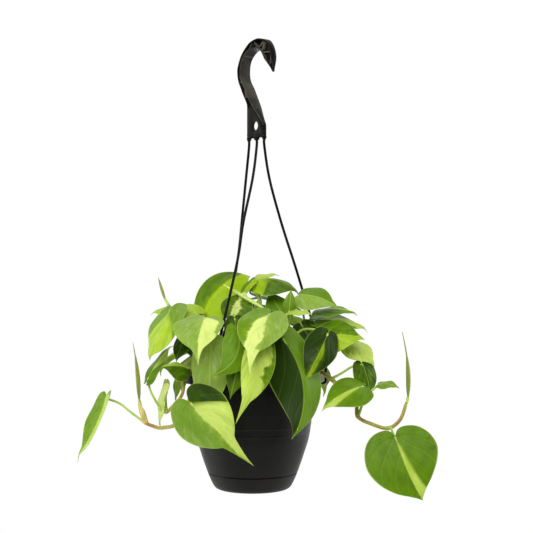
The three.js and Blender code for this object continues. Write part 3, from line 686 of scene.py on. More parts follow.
HOOK_TURN = math.radians(52)
HOOK_X = 4.4
HOOK_Y = 3.2
HOOK_THICK = 14
BEND_FROM = 455  # height from which the hook bends over
BEND_THINNING = 0.5  # share of its thickness that it loses over BEND_SPAN, across
BEND_SPAN = (-8, 33)
POINT_TOP = 480  # height from which its point thins again, down over POINT_LENGTH
POINT_LENGTH = 15
NECK_SHARE = 0.26  # share of its thickness that it has at the plate
NECK_SPAN = (415, 434)  # heights between which it thickens
FLANGE = 1.7
WEB_THICK = 2.4
RIB_THICK = 1.1
RIB_STATIONS = 13
RIB_INSET = 0.2  # how far short of the edges a rib ends, as a share of its way
EDGE_STEPS = 90
OUTER_EDGE = [
    (-15.5, 427), (-14.6, 434), (-18.9, 446), (-25, 457.2), (-27.3, 466.6), (-26.4, 475), (-19.5, 487.5),
    (-6.3, 498.4), (6, 502.2), (14.2, 501.5), (21.2, 498.6), (27.3, 492), (30.8, 483.8), (32, 473),
    (31.2, 463.4),
]
INNER_EDGE = [
    (15.4, 406), (2, 426.3), (-5, 436.5), (-12.6, 449.5), (-18.6, 458), (-20.9, 465.5), (-20.2, 476),
    (-16.2, 483.6), (-7.7, 489.8), (-0.7, 491.4), (7.3, 491.1), (13.4, 487.6), (19.4, 478), (26.2, 468.2),
    (30, 462.8),
]
PLATE_HALF = 16
PLATE_BOTTOM = 390
PLATE_THICK = 3
PLATE = [
    (-PLATE_HALF, PLATE_BOTTOM), (PLATE_HALF, PLATE_BOTTOM), (PLATE_HALF, 405), (3, 425), (-10, 432),
    (-PLATE_HALF, 428),
]
PLATE_HOLE = (-1, 406)
PLATE_HOLE_RADIUS = 5
BEADS = (393, 396)  # heights of the two moulded lines across the plate
BEAD_RADIUS = 0.7
LIP_RADIUS = 0.9
ARCH_RADIUS = 5.2
ARCH_SIDE = PLATE_HALF / 2 - 0.6  # how far the two small arches at its foot are from its middle
ARCH_HEIGHT = PLATE_BOTTOM - 1.5
STRAND_RADIUS = 1.5
ROOT_SWELL = 0.8  # the share by which a strand is thicker where it leaves the plate
CLIP_RADIUS = 1.4
STRAND_STEPS = 72
CLIP_STEPS = 40
STRANDS = {
    "strand_right": (14.2, 0, [(19, -6, 345), (32, -5, 297), (48, -4, 247), (63, -3, 198)]),
    "strand_front": (0, 240, [(0, -7, 346), (-10, -20, 297), (-16, -33, 256), (-29, -54, 195)]),
    "strand_back": (-14.2, 120, [(-8, 20, 346), (-12, 31, 308), (-17, 43, 262), (-28, 58, 195)]),
}


def smoothstep(value, low, high):
    t = min(1.0, max(0.0, (value - low) / (high - low)))
    return t * t * (3 - 2 * t)


def hook_place(h, along, z):
    """h runs across the hook's own plane, along is out of it."""
    x = HOOK_X + h * math.cos(HOOK_TURN) + along * math.sin(HOOK_TURN)
    y = HOOK_Y - h * math.sin(HOOK_TURN) + along * math.cos(HOOK_TURN)
    return (x, y, z)


def hook_taper(h, z):
    """The hook is full thickness along its back, thinner at its point and where it meets the plate."""
    if z > BEND_FROM:
        point = 1 - 0.7 * smoothstep(POINT_TOP - z, 0, POINT_LENGTH) if h > 20 else 1
        return (1 - BEND_THINNING * smoothstep(h, *BEND_SPAN)) * point
    return NECK_SHARE + (1 - NECK_SHARE) * smoothstep(z + 0.7 * h, *NECK_SPAN)


def soften(piece, width, degrees):
    """Rounds the edges that are sharper than an angle."""
    settings = {"limit_method": "ANGLE", "angle_limit": math.radians(degrees)}
    modify(piece, "BEVEL", width=width * MM, segments=2, **settings)


def sheet(name, rows, thick, bevel):
    """Two matching rows of points in the hook's plane, filled between and thickened to both sides."""
    near, far = rows
    count = len(near)
    points = [(h * MM, 0, z * MM) for h, z in near + far]
    faces = [(i, i + 1, count + i + 1, count + i) for i in range(count - 1)]
    mesh = bpy.data.meshes.new(name)
    mesh.from_pydata(points, [], faces)
    piece = new_object(name, mesh)
    modify(piece, "SOLIDIFY", thickness=thick * MM, offset=0)
    soften(piece, bevel, 50)
    return piece


def inset_edge(points, width):
    """The curve's samples moved sideways by width."""
    moved = []
    last = len(points) - 1
    for i, p in enumerate(points):
        way = points[min(i + 1, last)] - points[max(i - 1, 0)]
        moved.append(p + Vector((-way.y, way.x)).normalized() * width)
    return moved


def rib(start, finish):
    """A straight bar across the web."""
    middle = (start + finish) / 2
    lean = finish - start
    bpy.ops.mesh.primitive_cube_add(size=MM, location=(middle.x * MM, 0, middle.y * MM))
    bar = active()
    bar.scale = (lean.length, HOOK_THICK - 2.4, RIB_THICK)
    bar.rotation_euler = (0, -math.atan2(lean.y, lean.x), 0)
    settle(bar)
    modify(bar, "BEVEL", width=0.25 * MM, segments=2)
    return bar


def cutter(h, z, radius):
    """A round bar through the plate."""
    bpy.ops.mesh.primitive_cylinder_add(
        vertices=48, radius=radius * MM, depth=40 * MM,
        location=(h * MM, 0, z * MM), rotation=(math.pi / 2, 0, 0),
    )
    return active()


def plate():
    mesh = bpy.data.meshes.new("plate")
    mesh.from_pydata([(h * MM, 0, z * MM) for h, z in PLATE], [], [tuple(range(len(PLATE)))])
    piece = new_object("plate", mesh)
    modify(piece, "SOLIDIFY", thickness=PLATE_THICK * MM, offset=0)
    arches = [(h, ARCH_HEIGHT, ARCH_RADIUS) for h in (-ARCH_SIDE, ARCH_SIDE)]
    for cut in [(*PLATE_HOLE, PLATE_HOLE_RADIUS)] + arches:
        tool = cutter(*cut)
        modify(piece, "BOOLEAN", object=tool, operation="DIFFERENCE", solver="EXACT")
        bpy.data.objects.remove(tool)
    soften(piece, 0.3, 40)
    return piece


def standing_out(line, share):
    """A moulded line of the plate, stretched until it stands out on both sides."""
    settle(line)
    for vertex in line.data.vertices:
        vertex.co.y *= share
    return line


def bead(z):
    """A straight moulded line across the plate."""
    bpy.ops.mesh.primitive_cylinder_add(
        vertices=12, radius=BEAD_RADIUS * MM, depth=(2 * PLATE_HALF - 1) * MM,
        location=(0, 0, z * MM), rotation=(0, math.pi / 2, 0),
    )
    return standing_out(active(), 3.1)


def arch_rim(h):
    """The moulded lip round a small arch at the foot of the plate."""
    bpy.ops.mesh.primitive_torus_add(
        major_radius=(ARCH_RADIUS + 0.5) * MM, minor_radius=LIP_RADIUS * MM,
        major_segments=40, minor_segments=8,
        location=(h * MM, 0, ARCH_HEIGHT * MM), rotation=(math.pi / 2, 0, 0),
    )
    lip = standing_out(active(), 2.2)
    foot = (0, 0, PLATE_BOTTOM * MM)
    cut = {"plane_co": foot, "plane_no": (0, 0, 1), "clear_inner": True, "use_fill": True}
    edit(lip, (bpy.ops.mesh.bisect, cut))
    return lip


def hook():
    outer = sampled(OUTER_EDGE, EDGE_STEPS, False)
    inner = sampled(INNER_EDGE, EDGE_STEPS, False)
    parts = [
        sheet("web", (inset_edge(outer, -FLANGE / 2), inset_edge(inner, FLANGE / 2)), WEB_THICK, 0.2),
        sheet("outer_flange", (outer, inset_edge(outer, -FLANGE)), HOOK_THICK, 0.35),
        sheet("inner_flange", (inner, inset_edge(inner, FLANGE)), HOOK_THICK, 0.35),
    ]
    stations = []
    for i in range(1, RIB_STATIONS):
        near = through(OUTER_EDGE, (len(OUTER_EDGE) - 1) * i / RIB_STATIONS, False)
        stations.append(near if i % 2 else min(inner, key=lambda far: (far - near).length))
    for start, finish in zip(stations, stations[1:]):
        parts.append(rib(start.lerp(finish, RIB_INSET), start.lerp(finish, 1 - RIB_INSET)))
    for part in parts:
        for vertex in part.data.vertices:
            vertex.co.y *= hook_taper(vertex.co.x / MM, vertex.co.z / MM)
    inner_flange = parts[2]
    # the ribs, which take the lighter plastic with the painted highlight
    edges = parts[3:]
    parts += [plate(), *map(bead, BEADS), arch_rim(-ARCH_SIDE), arch_rim(ARCH_SIDE)]
    for part in parts:
        paint(part, rib_highlight_plastic if part in edges else hanger_plastic)
    # the inner flange takes the plastic whose lighter dust also paints its sheen
    paint(inner_flange, flange_dust_and_sheen_plastic)
    whole = join("hook_moulding", parts)
    for vertex in whole.data.vertices:
        vertex.co = at(*hook_place(vertex.co.x / MM, -vertex.co.y / MM, vertex.co.z / MM))
    smooth(whole, 45)
    return hand_in(whole, "black_plastic", "hook")


def strand(name, root, bearing, way):
    """From the plate to the rim, down outside the rim's skirt and up again behind it."""
    a = math.radians(bearing)

    def beside(radius, z):
        return (radius * math.cos(a), radius * math.sin(a), z)

    outside = RIM_RADIUS + CLIP_RADIUS + SEAM_GAP
    inside = RIM_RADIUS - WALL - CLIP_RADIUS - 3 * SEAM_GAP
    under = POT_HEIGHT - RIM_DEPTH - CLIP_RADIUS - 1.5 * SEAM_GAP
    top = hook_place(root, 0, PLATE_BOTTOM + 2.5)
    start = hook_place(root, 0, PLATE_BOTTOM - 8)
    down = [
        top, start, *way, beside(outside - 1, POT_HEIGHT + 16), beside(outside + 0.2, POT_HEIGHT + 2),
    ]
    clip = [
        beside(outside + 0.1, POT_HEIGHT + 5), beside(outside, POT_HEIGHT - 3),
        beside(outside, under + 1.4), beside((outside + inside) / 2, under - 0.9),
        beside(inside, under + 1.4), beside(inside, POT_HEIGHT - WALL - 2.6),
    ]
    radii = [STRAND_RADIUS * (1 + ROOT_SWELL * math.exp(-i / 1.8)) for i in range(STRAND_STEPS + 1)]
    ends = [min(1.0, 0.45 + min(i, CLIP_STEPS - i) / 5) for i in range(CLIP_STEPS + 1)]
    ways = [
        (sampled(down, STRAND_STEPS), radii),
        (sampled(clip, CLIP_STEPS), [CLIP_RADIUS * end for end in ends]),
    ]
    piece = tubes(name + "_moulding", ways, hanger_plastic, 4)
    smooth(piece, 50)
    return hand_in(piece, "black_plastic", name)


# The plant

# half of a blade's outline, as shares of its length and width, from the notch to the tip
HALF_OUTLINE = [
    (0, 0), (-0.085, 0.045), (-0.125, 0.13), (-0.105, 0.27), (-0.02, 0.39), (0.13, 0.475),
    (0.33, 0.5), (0.55, 0.42), (0.74, 0.27), (0.86, 0.125), (0.94, 0.04), (1, 0),
]
ROWS = 52  # of faces from notch to tip
COLUMNS = 20  # of faces from edge to edge
BLADE_THICK = 0.45
DRIP_NECK = 0.86  # where on the outline the narrow tip begins
ROWS_FROM = 0.1  # rows that end at an edge lower than this share of the length start at the petiole
ROW_BEND = 1.2  # how a row bends on its way from the midrib to its edge
SOFT_RIB = 0.02  # half width of the rounding along the midrib, as a share of the length
GROOVE = (-0.22, 0.9)  # height and half width of the groove over the midrib
QUILTING = 0.008  # how far the blade bulges between veins, as a share of its length
PINCH_FROM = 0.15  # where on the outline a pinch begins
PINCH_TIP = 0.6  # where it is whole, towards the tip
PINCH_LOBE = 0.5  # where it is over, at the lobe
WAVE_LAG = 1.3  # how far the right edge's waves run behind the left edge's
WAVE_CALM = 12  # length times outline below which the waves grow smaller
TIP_SAG = 0.05  # how far the tip hangs, as a share of the length
PETIOLE_RADIUS = 1.25
PETIOLE_BEND = 0.35  # where along its reach a petiole bends
PETIOLE_ENTRY = 0.28  # how long its last part is that comes in along the blade, as a share too
PETIOLE_SAG = 0.04  # how far that part hangs below the blade
PETIOLE_SWING = 0.1  # how far it turns towards the blade, and how much more by its rise
PETIOLE_SWING_BY_RISE = 2.2
PETIOLE_STEPS = 26
MIDRIB_FROM = 0.02  # where under the blade the petiole goes over into a rib
MIDRIB_LENGTH = 0.9
MIDRIB_STEPS = 14
MIDRIB_LEAST = 0.12  # its radius at the tip, and how far its top lies under the blade's middle surface
STEM_STEPS = 8  # for each of a stem's points
STEM_TAPER = 0.22  # the share of its radius that it loses from foot to end
NODE_SWELL = 0.22  # the share by which it is thicker at a node
FURLED_LEAST = 1.3  # radius of a furled leaf's upper half before it narrows to its tip
FURLED_TWIST = 0.9  # how far it is twisted, in radians, and where its lap begins
LAP_BEARING = 0.6
LAPPED = 0.8  # radius of the edge that lies inside the lap, as a share of the outer edge's
SHEATH_WRAP = 2.4  # how far round the stem a sheath reaches to each side, in radians
SHEATH_GAP = 0.35
SHEATH_FLARE = 1.1
SHEATH_THICK = 0.25
BACK_FOLD = 14  # fold and drip of the leaves at the back
BACK_DRIP = 0.1


class Look(NamedTuple):
    """Colouring of a blade, whose flame is the pale part along its midrib."""
    left: float = -1.0  # how far the flame reaches on each side, by the half width, with none below 0
    right: float = -1.0
    dark: float = 0.5  # how deep the green is
    pale: float = 0.3  # how pale the flame is
    start: float = 0.4  # where along the blade the flame starts and ends
    end: float = 2.0
    grow: float = 0.0  # how much it widens towards the tip
    ragged: float = 0.5  # how torn its edge is
    lean: float = 0.0  # painted shade: how much deeper the green is on the right than on the left, for the half of a folded leaf that faces away from the light


class Leaf(NamedTuple):
    """A leaf that has opened, with the petiole that carries it."""
    node: int  # number of the stem's point that it grows from
    base: tuple  # where the blade starts and ends
    tip: tuple
    face: tuple  # the way that its upper side looks
    wide: float  # its width as a share of its length
    arch: float  # how high its middle stands over its ends, as a share too
    fold: float  # degrees by which its halves are lowered from the midrib
    look: Look
    drip: float = 0.05  # how far its tip is drawn out
    sweep: float = 0.0  # how far its middle is bent sideways
    belly: float = 0.0  # how far its widest place is moved on
    rise: float = 0.18  # how high the petiole bends up, by its reach
    pinch: float = 0.0  # width lost on the right, towards the tip or, below 0, at the lobe
    wave: float = 0.9  # height of the waves along its edge


class Furled(NamedTuple):
    """A young leaf that is still rolled up, with its stalk."""
    node: int
    base: tuple
    tip: tuple
    radius: float
    tail: float = 0.0  # the share of its length that is drawn out to a point
    bow: float = 0.0  # how far its middle is bent sideways
    pale: bool = False


class Vine(NamedTuple):
    """A stem and all that grows on it."""
    name: str
    radius: float
    stem: list
    leaves: list
    young: tuple = ()  # its furled leaves
    sheaths: tuple = ()  # the node and the length of each dry sheath


def back_leaf(node, bearing, base_reach, base_height, tip_reach, tip_height, wide, arch, look):
    """A leaf at the back is placed by its bearing, with the reach and height of both its ends."""
    a = math.radians(bearing)
    droop = math.atan2(base_height - tip_height, tip_reach - base_reach)

    def outward(reach, height):
        return (reach * math.cos(a), reach * math.sin(a), height)

    face = outward(math.sin(droop), math.cos(droop))
    base = outward(base_reach, base_height)
    tip = outward(tip_reach, tip_height)
    return Leaf(node, base, tip, face, wide, arch, BACK_FOLD, look, drip=BACK_DRIP)


DARK = Look(dark=0.85)
BRIGHT = Look(left=1.4, right=1.4, start=-0.3, pale=0.05, dark=0.2)

VINES = [
    Vine("vine_front", 2.4, [(2, -36, 104), (4, -40, 124), (7, -44, 142), (10, -46, 158)], [
        Leaf(1, (-10, -80, 160), (-23, -90, 108), (0, -0.99, 0.15), 0.5, 0.04, 6, Look(dark=0.7)),
        Leaf(3, (19, -94, 199), (-2, -138, 138), (-0.1, -0.87, 0.48), 0.67, 0.14, 8,
             Look(0.46, 0.2, dark=0.28, pale=1.0, start=0.44, grow=1.2, ragged=0.5, lean=-0.12),
             drip=0.2, sweep=-0.04),
        Leaf(2, (-14.5, -85.5, 180), (-43, -104, 134), (0.31, -0.9, 0.31), 0.6, 0.1, 18,
             Look(dark=0.5), drip=0.06, sweep=0.2),
        Leaf(2, (-19, -50, 192), (-13, -64, 158), (0, -0.95, 0.32), 0.7, 0.08, 12, DARK),
        Leaf(3, (-21, -38, 194), (-7, -24, 221), (0, -0.76, 0.65), 1.15, 0.1, 12,
             Look(0.16, 0.2, dark=0.7, pale=1.1, start=0.25, ragged=0.5)),
    ], young=[Furled(3, (17, -42, 200), (-33, -30, 229), 2.4, pale=True)]),
    Vine("vine_front_left", 2.4, [(-30, -30, 104), (-34, -34, 124), (-40, -40, 146), (-44, -42, 164)], [
        Leaf(1, (-43, -76, 166), (-46, -77, 84), (-0.25, -0.96, 0.05), 0.52, 0.03, 8, Look(dark=0.0)),
        Leaf(3, (-49, -78, 194), (-55, -117, 146), (-0.05, -0.78, 0.62), 0.99, 0.16, 8,
             Look(0.02, 0.55, dark=0.15, pale=0.95, start=0.3, ragged=0.35),
             drip=0.14, sweep=-0.025, pinch=0.35),
    ]),
    Vine("vine_left", 2.3, [(-48, -8, 104), (-54, -12, 126), (-62, -16, 146), (-68, -20, 168)], [
        Leaf(3, (-89, -38, 202), (-113, -55, 147), (-0.71, -0.61, 0.35), 0.84, 0.1, 10,
             Look(0.7, 1.2, dark=0.35, pale=0.15, start=0.46, ragged=0.9),
             drip=0.04, sweep=0.12, belly=0.06),
        Leaf(3, (-61, -32, 197), (-115, -11, 196), (-0.1, -0.35, 0.93), 0.74, 0.08, 6, BRIGHT),
        Leaf(1, (-72, -34, 172), (-83, -44, 144), (-0.32, -0.85, 0.42), 0.7, 0.08, 10, DARK),
        Leaf(2, (-61, -12, 177), (-64, -24, 142), (-0.2, -0.96, 0.2), 1.0, 0.08, 10, DARK),
        Leaf(2, (-68, -62, 139), (-97, -74, 141), (-0.1, -0.71, 0.69), 1.05, 0.1, 34,
             Look(1.3, -1.0, dark=0.75, pale=0.1, start=-0.2)),
        Leaf(3, (-54, -14, 192), (-2, 10, 240), (-0.3, -0.79, 0.54), 0.76, 0.15, 12,
             Look(1.4, 0.14, dark=0.65, pale=-0.05, start=0.1, ragged=0.25),
             drip=0.02, sweep=0.055, belly=0.13, pinch=-0.45),
    ], young=[Furled(3, (-98, 6, 209), (-107, 12, 236), 1.9)]),
    Vine("vine_trail_left", 2.5, [
        (-38, -34, 104), (-43, -41, 127), (-47, -50, 137), (-55, -62, 138), (-64, -66, 113.5),
        (-77, -62, 82), (-98, -44, 73), (-110, -33, 74), (-117, -28, 76),
    ], [
        Leaf(4, (-65, -84, 105), (3, -98, 39), (-0.1, -0.98, 0.15), 0.66, 0.08, -8,
             Look(0.06, 1.6, dark=0.62, pale=0.5, start=0.43, ragged=0.38, lean=0.28),
             drip=0.28, rise=0.02),
        Leaf(8, (-162, -20, 104), (-193, -45, 37), (-0.8, -0.4, 0.44), 0.58, 0, -13,
             Look(0.03, 1.3, dark=0.4, pale=0.3, start=0.3, grow=0.6, ragged=0.2),
             sweep=0.16, rise=0.02, pinch=-0.95),
    ], young=[Furled(8, (-124, -28, 99), (-131, -31, 166), 2.7, tail=0.16, bow=1.5)], sheaths=[(8, 27)]),
    Vine("vine_mid_left", 2.2, [
        (-53, -19, 104), (-57, -24, 127), (-63, -31, 137), (-71, -42, 137), (-73, -54, 126),
        (-76, -57, 109), (-93, -43, 89),
    ], [
        Leaf(6, (-114, -40, 125), (-87, -30, 163), (-0.77, -0.56, 0.31), 0.5, 0.06, 12,
             Look(1.3, -1, dark=0.62, pale=0.35, start=0.5, ragged=0.4), rise=-0.16),
        Leaf(6, (-97, -30, 119), (-100, -34, 69), (-0.95, -0.28, 0.1), 0.75, 0.08, 10,
             Look(0.9, 0.9, dark=0.1, pale=0.9, start=0.2, ragged=0.9)),
        Leaf(4, (-80, -36, 133), (-83, -42, 99), (-0.84, -0.5, 0.2), 0.5, 0.05, 10, Look(dark=0.25)),
    ]),
    Vine("vine_front_right", 2.4, [(30, -30, 104), (34, -34, 126), (38, -38, 146), (40, -38, 166)], [
        # lean paints shade on the left half, which faces away from the light
        Leaf(2, (31.5, -92, 174), (43, -110, 69), (0.3, -0.95, 0.1), 0.66, 0.04, 32,
             Look(dark=0.75, lean=-0.28), drip=0.02, sweep=0.15, belly=0.06, pinch=0.12),
        Leaf(1, (9, -111, 171), (-17.5, -130, 87), (-0.2, -0.96, 0.15), 0.42, 0.06, 24,
             Look(1.3, 0.62, dark=0.62, pale=0.35, start=0.2, ragged=1.0), drip=0.18, sweep=0.07),
        Leaf(3, (81, -71, 177), (54, -94, 126), (0.2, -0.91, 0.35), 0.64, 0.14, 22,
             Look(0.04, 0.22, dark=1.0, pale=-0.35, start=0.5, ragged=0.2)),
        Leaf(3, (40, -52, 199), (42, -51, 224), (0, -0.95, 0.3), 0.6, 0.1, 20, Look(dark=0.35)),
        Leaf(3, (40, -56, 199), (65, -66, 196), (0, -0.3, 0.95), 0.7, 0.1, 10,
             Look(1.2, 1.2, start=-0.2, pale=0.3, dark=0.2)),
    ]),
    Vine("vine_right", 2.3, [(46, -10, 104), (52, -14, 126), (56, -18, 148), (58, -22, 170)], [
        Leaf(3, (52, -32, 217), (94, -51, 203), (-0.05, -0.75, 0.65), 0.75, 0.14, 16,
             Look(dark=0.3, lean=0.2)),
        Leaf(3, (70, -28, 198), (116, -34, 196), (0, -0.3, 0.95), 0.7, 0.1, 10,
             Look(0.0, 0.3, dark=0.55, pale=0.1, start=0.5, ragged=0.4)),
        Leaf(2, (71, -23, 189), (129, -18, 177), (0, -0.36, 0.93), 0.66, 0.1, 8,
             Look(0.3, 0.3, dark=0.6, pale=0.2, start=0.3, grow=1.8, ragged=0.3)),
        Leaf(2, (73, -49, 173), (121, -65, 171), (0.1, -0.86, 0.5), 0.85, 0.08, 8,
             Look(1.1, 0.1, dark=0.65, pale=0.05, start=0.2)),
        Leaf(1, (54, -33, 184), (72, -38, 150), (0.1, -0.97, 0.2), 0.8, 0.1, 12, DARK),
        Leaf(1, (105, -34, 163), (133, -52, 140), (0.31, -0.77, 0.56), 0.8, 0.12, 10,
             Look(1.4, 1.4, start=-0.2, pale=0.5, dark=0.3)),
    ]),
    Vine("vine_trail_right", 2.4, [
        (44, -26, 104), (50, -32, 127), (57, -38, 137), (68, -46, 137), (85, -56, 127), (105, -62, 109),
        (112, -62, 104), (113, -66, 88), (128, -68, 80), (145, -70, 76), (158, -68, 85),
        (165, -64, 102),
    ], [
        Leaf(5, (119, -72, 121), (72, -98, 98), (-0.1, -0.8, 0.6), 0.72, 0.14, 14,
             Look(0.03, 0.22, dark=0.55, pale=0.3, start=0.44, grow=1.6, ragged=0.15)),
        Leaf(4, (119, -48, 143), (128, -50, 106), (0.41, -0.89, 0.2), 0.75, 0.08, 10,
             Look(dark=0.75), rise=0.02),
        Leaf(7, (136, -60, 122), (157, -74, 119), (0.1, -0.62, 0.78), 0.6, 0.1, 10, Look(dark=0.3)),
        Leaf(9, (151, -85, 69), (178.5, -100, 4), (-0.02, -0.99, 0.1), 1.08, 0.05, 3,
             Look(-1.0, 0.17, dark=0.58, pale=0.3, start=0.44, grow=1.6, ragged=0.06),
             drip=0, sweep=-0.035, wave=0.4),
    ], young=[Furled(11, (167, -62, 106), (161, -58, 179), 2.8, tail=0.3, bow=3)]),
    Vine("vine_top", 2.3, [(6, -4, 104), (8, -4, 130), (10, -6, 160), (10, -8, 186)], [
        Leaf(3, (2, -4, 234), (53, -16, 218), (0.15, -0.56, 0.81), 0.8, 0.14, 30,
             Look(1.2, 1.2, dark=0.7, pale=0.05, start=-0.2, end=0.62)),
        Leaf(3, (1, -13, 233), (-16, -19, 210), (-0.52, -0.83, 0.21), 0.38, 0.08, 14,
             Look(-1.0, 1.2, dark=0.5, pale=0, start=-0.2)),
        Leaf(3, (5, 7, 237), (30, 4, 238.5), (0, -0.3, 0.95), 0.6, 0.05, 8,
             Look(1.4, 1.4, start=-0.3, pale=0.4, dark=0.2)),
        Leaf(2, (35, -14, 191), (17, 6, 219), (0, -0.91, 0.41), 0.8, 0.1, 12, Look(dark=0.6)),
    ]),
    Vine("vine_back_right", 2.3, [(34, 26, 104), (38, 30, 126), (40, 34, 150), (40, 36, 172)], [
        back_leaf(3, 28, 60, 176, 116, 150, 0.85, 0.14, Look(0.1, 0.7, dark=0.5, pale=0.2)),
        back_leaf(1, 40, 84, 146, 110, 94, 0.85, 0.14, Look(0.3, 0.35, dark=0.55, pale=0.4)),
        back_leaf(3, 58, 52, 194, 104, 168, 0.85, 0.16, Look(1.3, 0.1, dark=0.5, pale=0.1)),
        back_leaf(2, 70, 78, 156, 112, 116, 0.8, 0.14, Look(dark=0.55)),
    ]),
    Vine("vine_back", 2.3, [(2, 34, 104), (2, 38, 126), (0, 42, 150), (-2, 42, 176)], [
        back_leaf(3, 88, 46, 204, 98, 184, 0.85, 0.16, Look(0.45, 0.4, dark=0.5, pale=0.5)),
        back_leaf(1, 98, 84, 148, 108, 100, 0.8, 0.1, Look(dark=0.7)),
        back_leaf(2, 100, 76, 178, 116, 138, 0.85, 0.14, Look(0.05, 1.3, dark=0.5, pale=0.15)),
        back_leaf(3, 70, 24, 214, 70, 204, 0.8, 0.1, Look(0.3, 0.2, dark=0.35, pale=0.3)),
    ]),
    Vine("vine_back_left", 2.3, [(-34, 22, 104), (-38, 26, 126), (-42, 28, 150), (-44, 30, 172)], [
        back_leaf(1, 140, 84, 148, 110, 96, 0.85, 0.14, Look(0.2, 0.9, dark=0.6, pale=0.25)),
        back_leaf(3, 142, 58, 188, 108, 164, 0.85, 0.16, Look(0.4, 0.35, dark=0.45, pale=0.5)),
        back_leaf(2, 160, 74, 160, 116, 122, 0.85, 0.14, Look(1.3, 1.3, dark=0.4, pale=0.05, start=0.1)),
        back_leaf(3, 146, 26, 210, 74, 202, 0.75, 0.1, Look(dark=0.5)),
    ]),
    Vine("vine_trail_back", 2.3, [
        (16, 46, 104), (15, 56, 127), (13, 67, 137), (12, 80, 138), (11, 90, 127), (8, 92, 100),
        (2, 96, 66), (0, 98, 52),
    ], [
        back_leaf(5, 80, 106, 112, 124, 58, 0.85, 0.1, Look(0.2, 0.25, dark=0.5, pale=0.4, grow=0.8)),
        back_leaf(6, 62, 104, 84, 116, 36, 0.85, 0.1, Look(0.05, 0.9, dark=0.55, pale=0.2)),
        back_leaf(7, 100, 108, 60, 114, 12, 0.8, 0.08, Look(0.35, 0.3, dark=0.3, pale=0.3)),
    ]),
]


def drawn_out(s, drip, belly):
    """The share s of the length, with the tip drawn out by drip and the widest place moved by belly."""
    if s <= 0:
        return s
    s += belly * 4 * s * (1 - s)
    neck = DRIP_NECK * (1 - drip)
    if s < DRIP_NECK:
        return s * (1 - drip)
    return neck + (s - DRIP_NECK) / (1 - DRIP_NECK) * (1 - neck)


def pinched(t, pinch):
    """The share of its width that the right half keeps."""
    if pinch > 0:
        return 1 - pinch * smoothstep(t, PINCH_FROM, PINCH_TIP)
    return 1 + pinch * (1 - smoothstep(t, PINCH_FROM, PINCH_LOBE))


def blade_frame(one):
    foot = Vector(one.base)
    along = Vector(one.tip) - foot
    length = along.length
    along.normalize()
    up = Vector(one.face)
    up = (up - along * up.dot(along)).normalized()
    return foot, along, up, up.cross(along), length


def blade_point(one, placing, s, w):
    """The blade's middle surface and its normal, s along it and w across it, as shares of its length."""
    foot, along, up, side, length = placing
    rise = 4 * s * (1 - s)
    slope = 4 * (1 - 2 * s)
    centre = foot + along * (length * s) + up * (length * one.arch * rise)
    centre += side * (length * one.sweep * rise)
    tangent = (along + up * (one.arch * slope) + side * (one.sweep * slope)).normalized()
    across = (side - tangent * side.dot(tangent)).normalized()
    normal = tangent.cross(across)
    fold = math.radians(one.fold)
    away = math.sqrt(w * w + SOFT_RIB * SOFT_RIB) - SOFT_RIB
    point = centre + across * (length * w * math.cos(fold)) - normal * (length * away * math.sin(fold))
    return point, normal


def record(mesh, name, rows):
    """Keeps three numbers for each of a mesh's points, which its material reads."""
    layer = mesh.attributes.new("leaf " + name, "FLOAT_VECTOR", "POINT")
    layer.data.foreach_set("vector", [number for row in rows for number in row])


def relief(one, length, r, t, s, w, half_outline, waves):
    """How far a blade's surface stands out: waves along its edge, bulges between its veins, the groove
    over its midrib and the hanging tip."""
    phase, crests = waves
    right = WAVE_LAG if r > 0 else 0
    ripple = one.wave * r * r * math.sin(2 * math.pi * crests * t + phase + right)
    ripple *= min(1.0, length * half_outline / WAVE_CALM)
    vein_phase = math.pi * VEINS * (t - VEIN_LEAN * abs(r))
    quilt = QUILTING * length * (math.sin(vein_phase) ** 2 - 0.5) * 4 * abs(r) * (1 - abs(r))
    quilt *= (1 - max(0, s)) * smoothstep(t, 0.1, 0.5)
    deep, wide = GROOVE
    groove = deep * math.exp(-(w * length / wide) ** 2) * (1 - s)
    drooping = -TIP_SAG * length * smoothstep(s, 0.84, 1.0) ** 2
    return ripple + quilt + groove + drooping


def blade(one, blank, chance):
    """One blade, shaped from a copy of the blank."""
    placing = blade_frame(one)
    length = placing[-1]
    half_width = one.wide * length / 2
    seed = chance.random()
    waves = (chance.uniform(0, 2 * math.pi), chance.uniform(2.2, 3.4))
    piece = new_object("blade", blank.data.copy())
    mesh = piece.data
    veins = []
    spans = []
    for vertex in mesh.vertices:
        r = -vertex.co.x
        t = (vertex.co.y + 1) / 2
        edge = through(HALF_OUTLINE, t * (len(HALF_OUTLINE) - 1), False)
        middle = max(0.0, (edge.x - ROWS_FROM) / (1 - ROWS_FROM))
        s = drawn_out(middle + (edge.x - middle) * abs(r) ** ROW_BEND, one.drip, one.belly)
        w = edge.y * one.wide * r
        if r > 0:
            w *= pinched(t, one.pinch)
            s = max(s, 0) + min(s, 0) * pinched(t, one.pinch)
        point, normal = blade_point(one, placing, s, w)
        vertex.co = at(*(point + normal * relief(one, length, r, t, s, w, edge.y, waves)))
        veins.append((r, t, seed))
        spans.append((w * length / half_width, s, half_width))
    look = one.look
    record(mesh, "vein", veins)
    record(mesh, "flame", [(look.left, look.right, look.ragged)] * len(veins))
    record(mesh, "flow", [(look.start, look.end, look.grow)] * len(veins))
    record(mesh, "tone", [(look.dark, look.pale, look.lean)] * len(veins))
    record(mesh, "span", spans)
    return piece


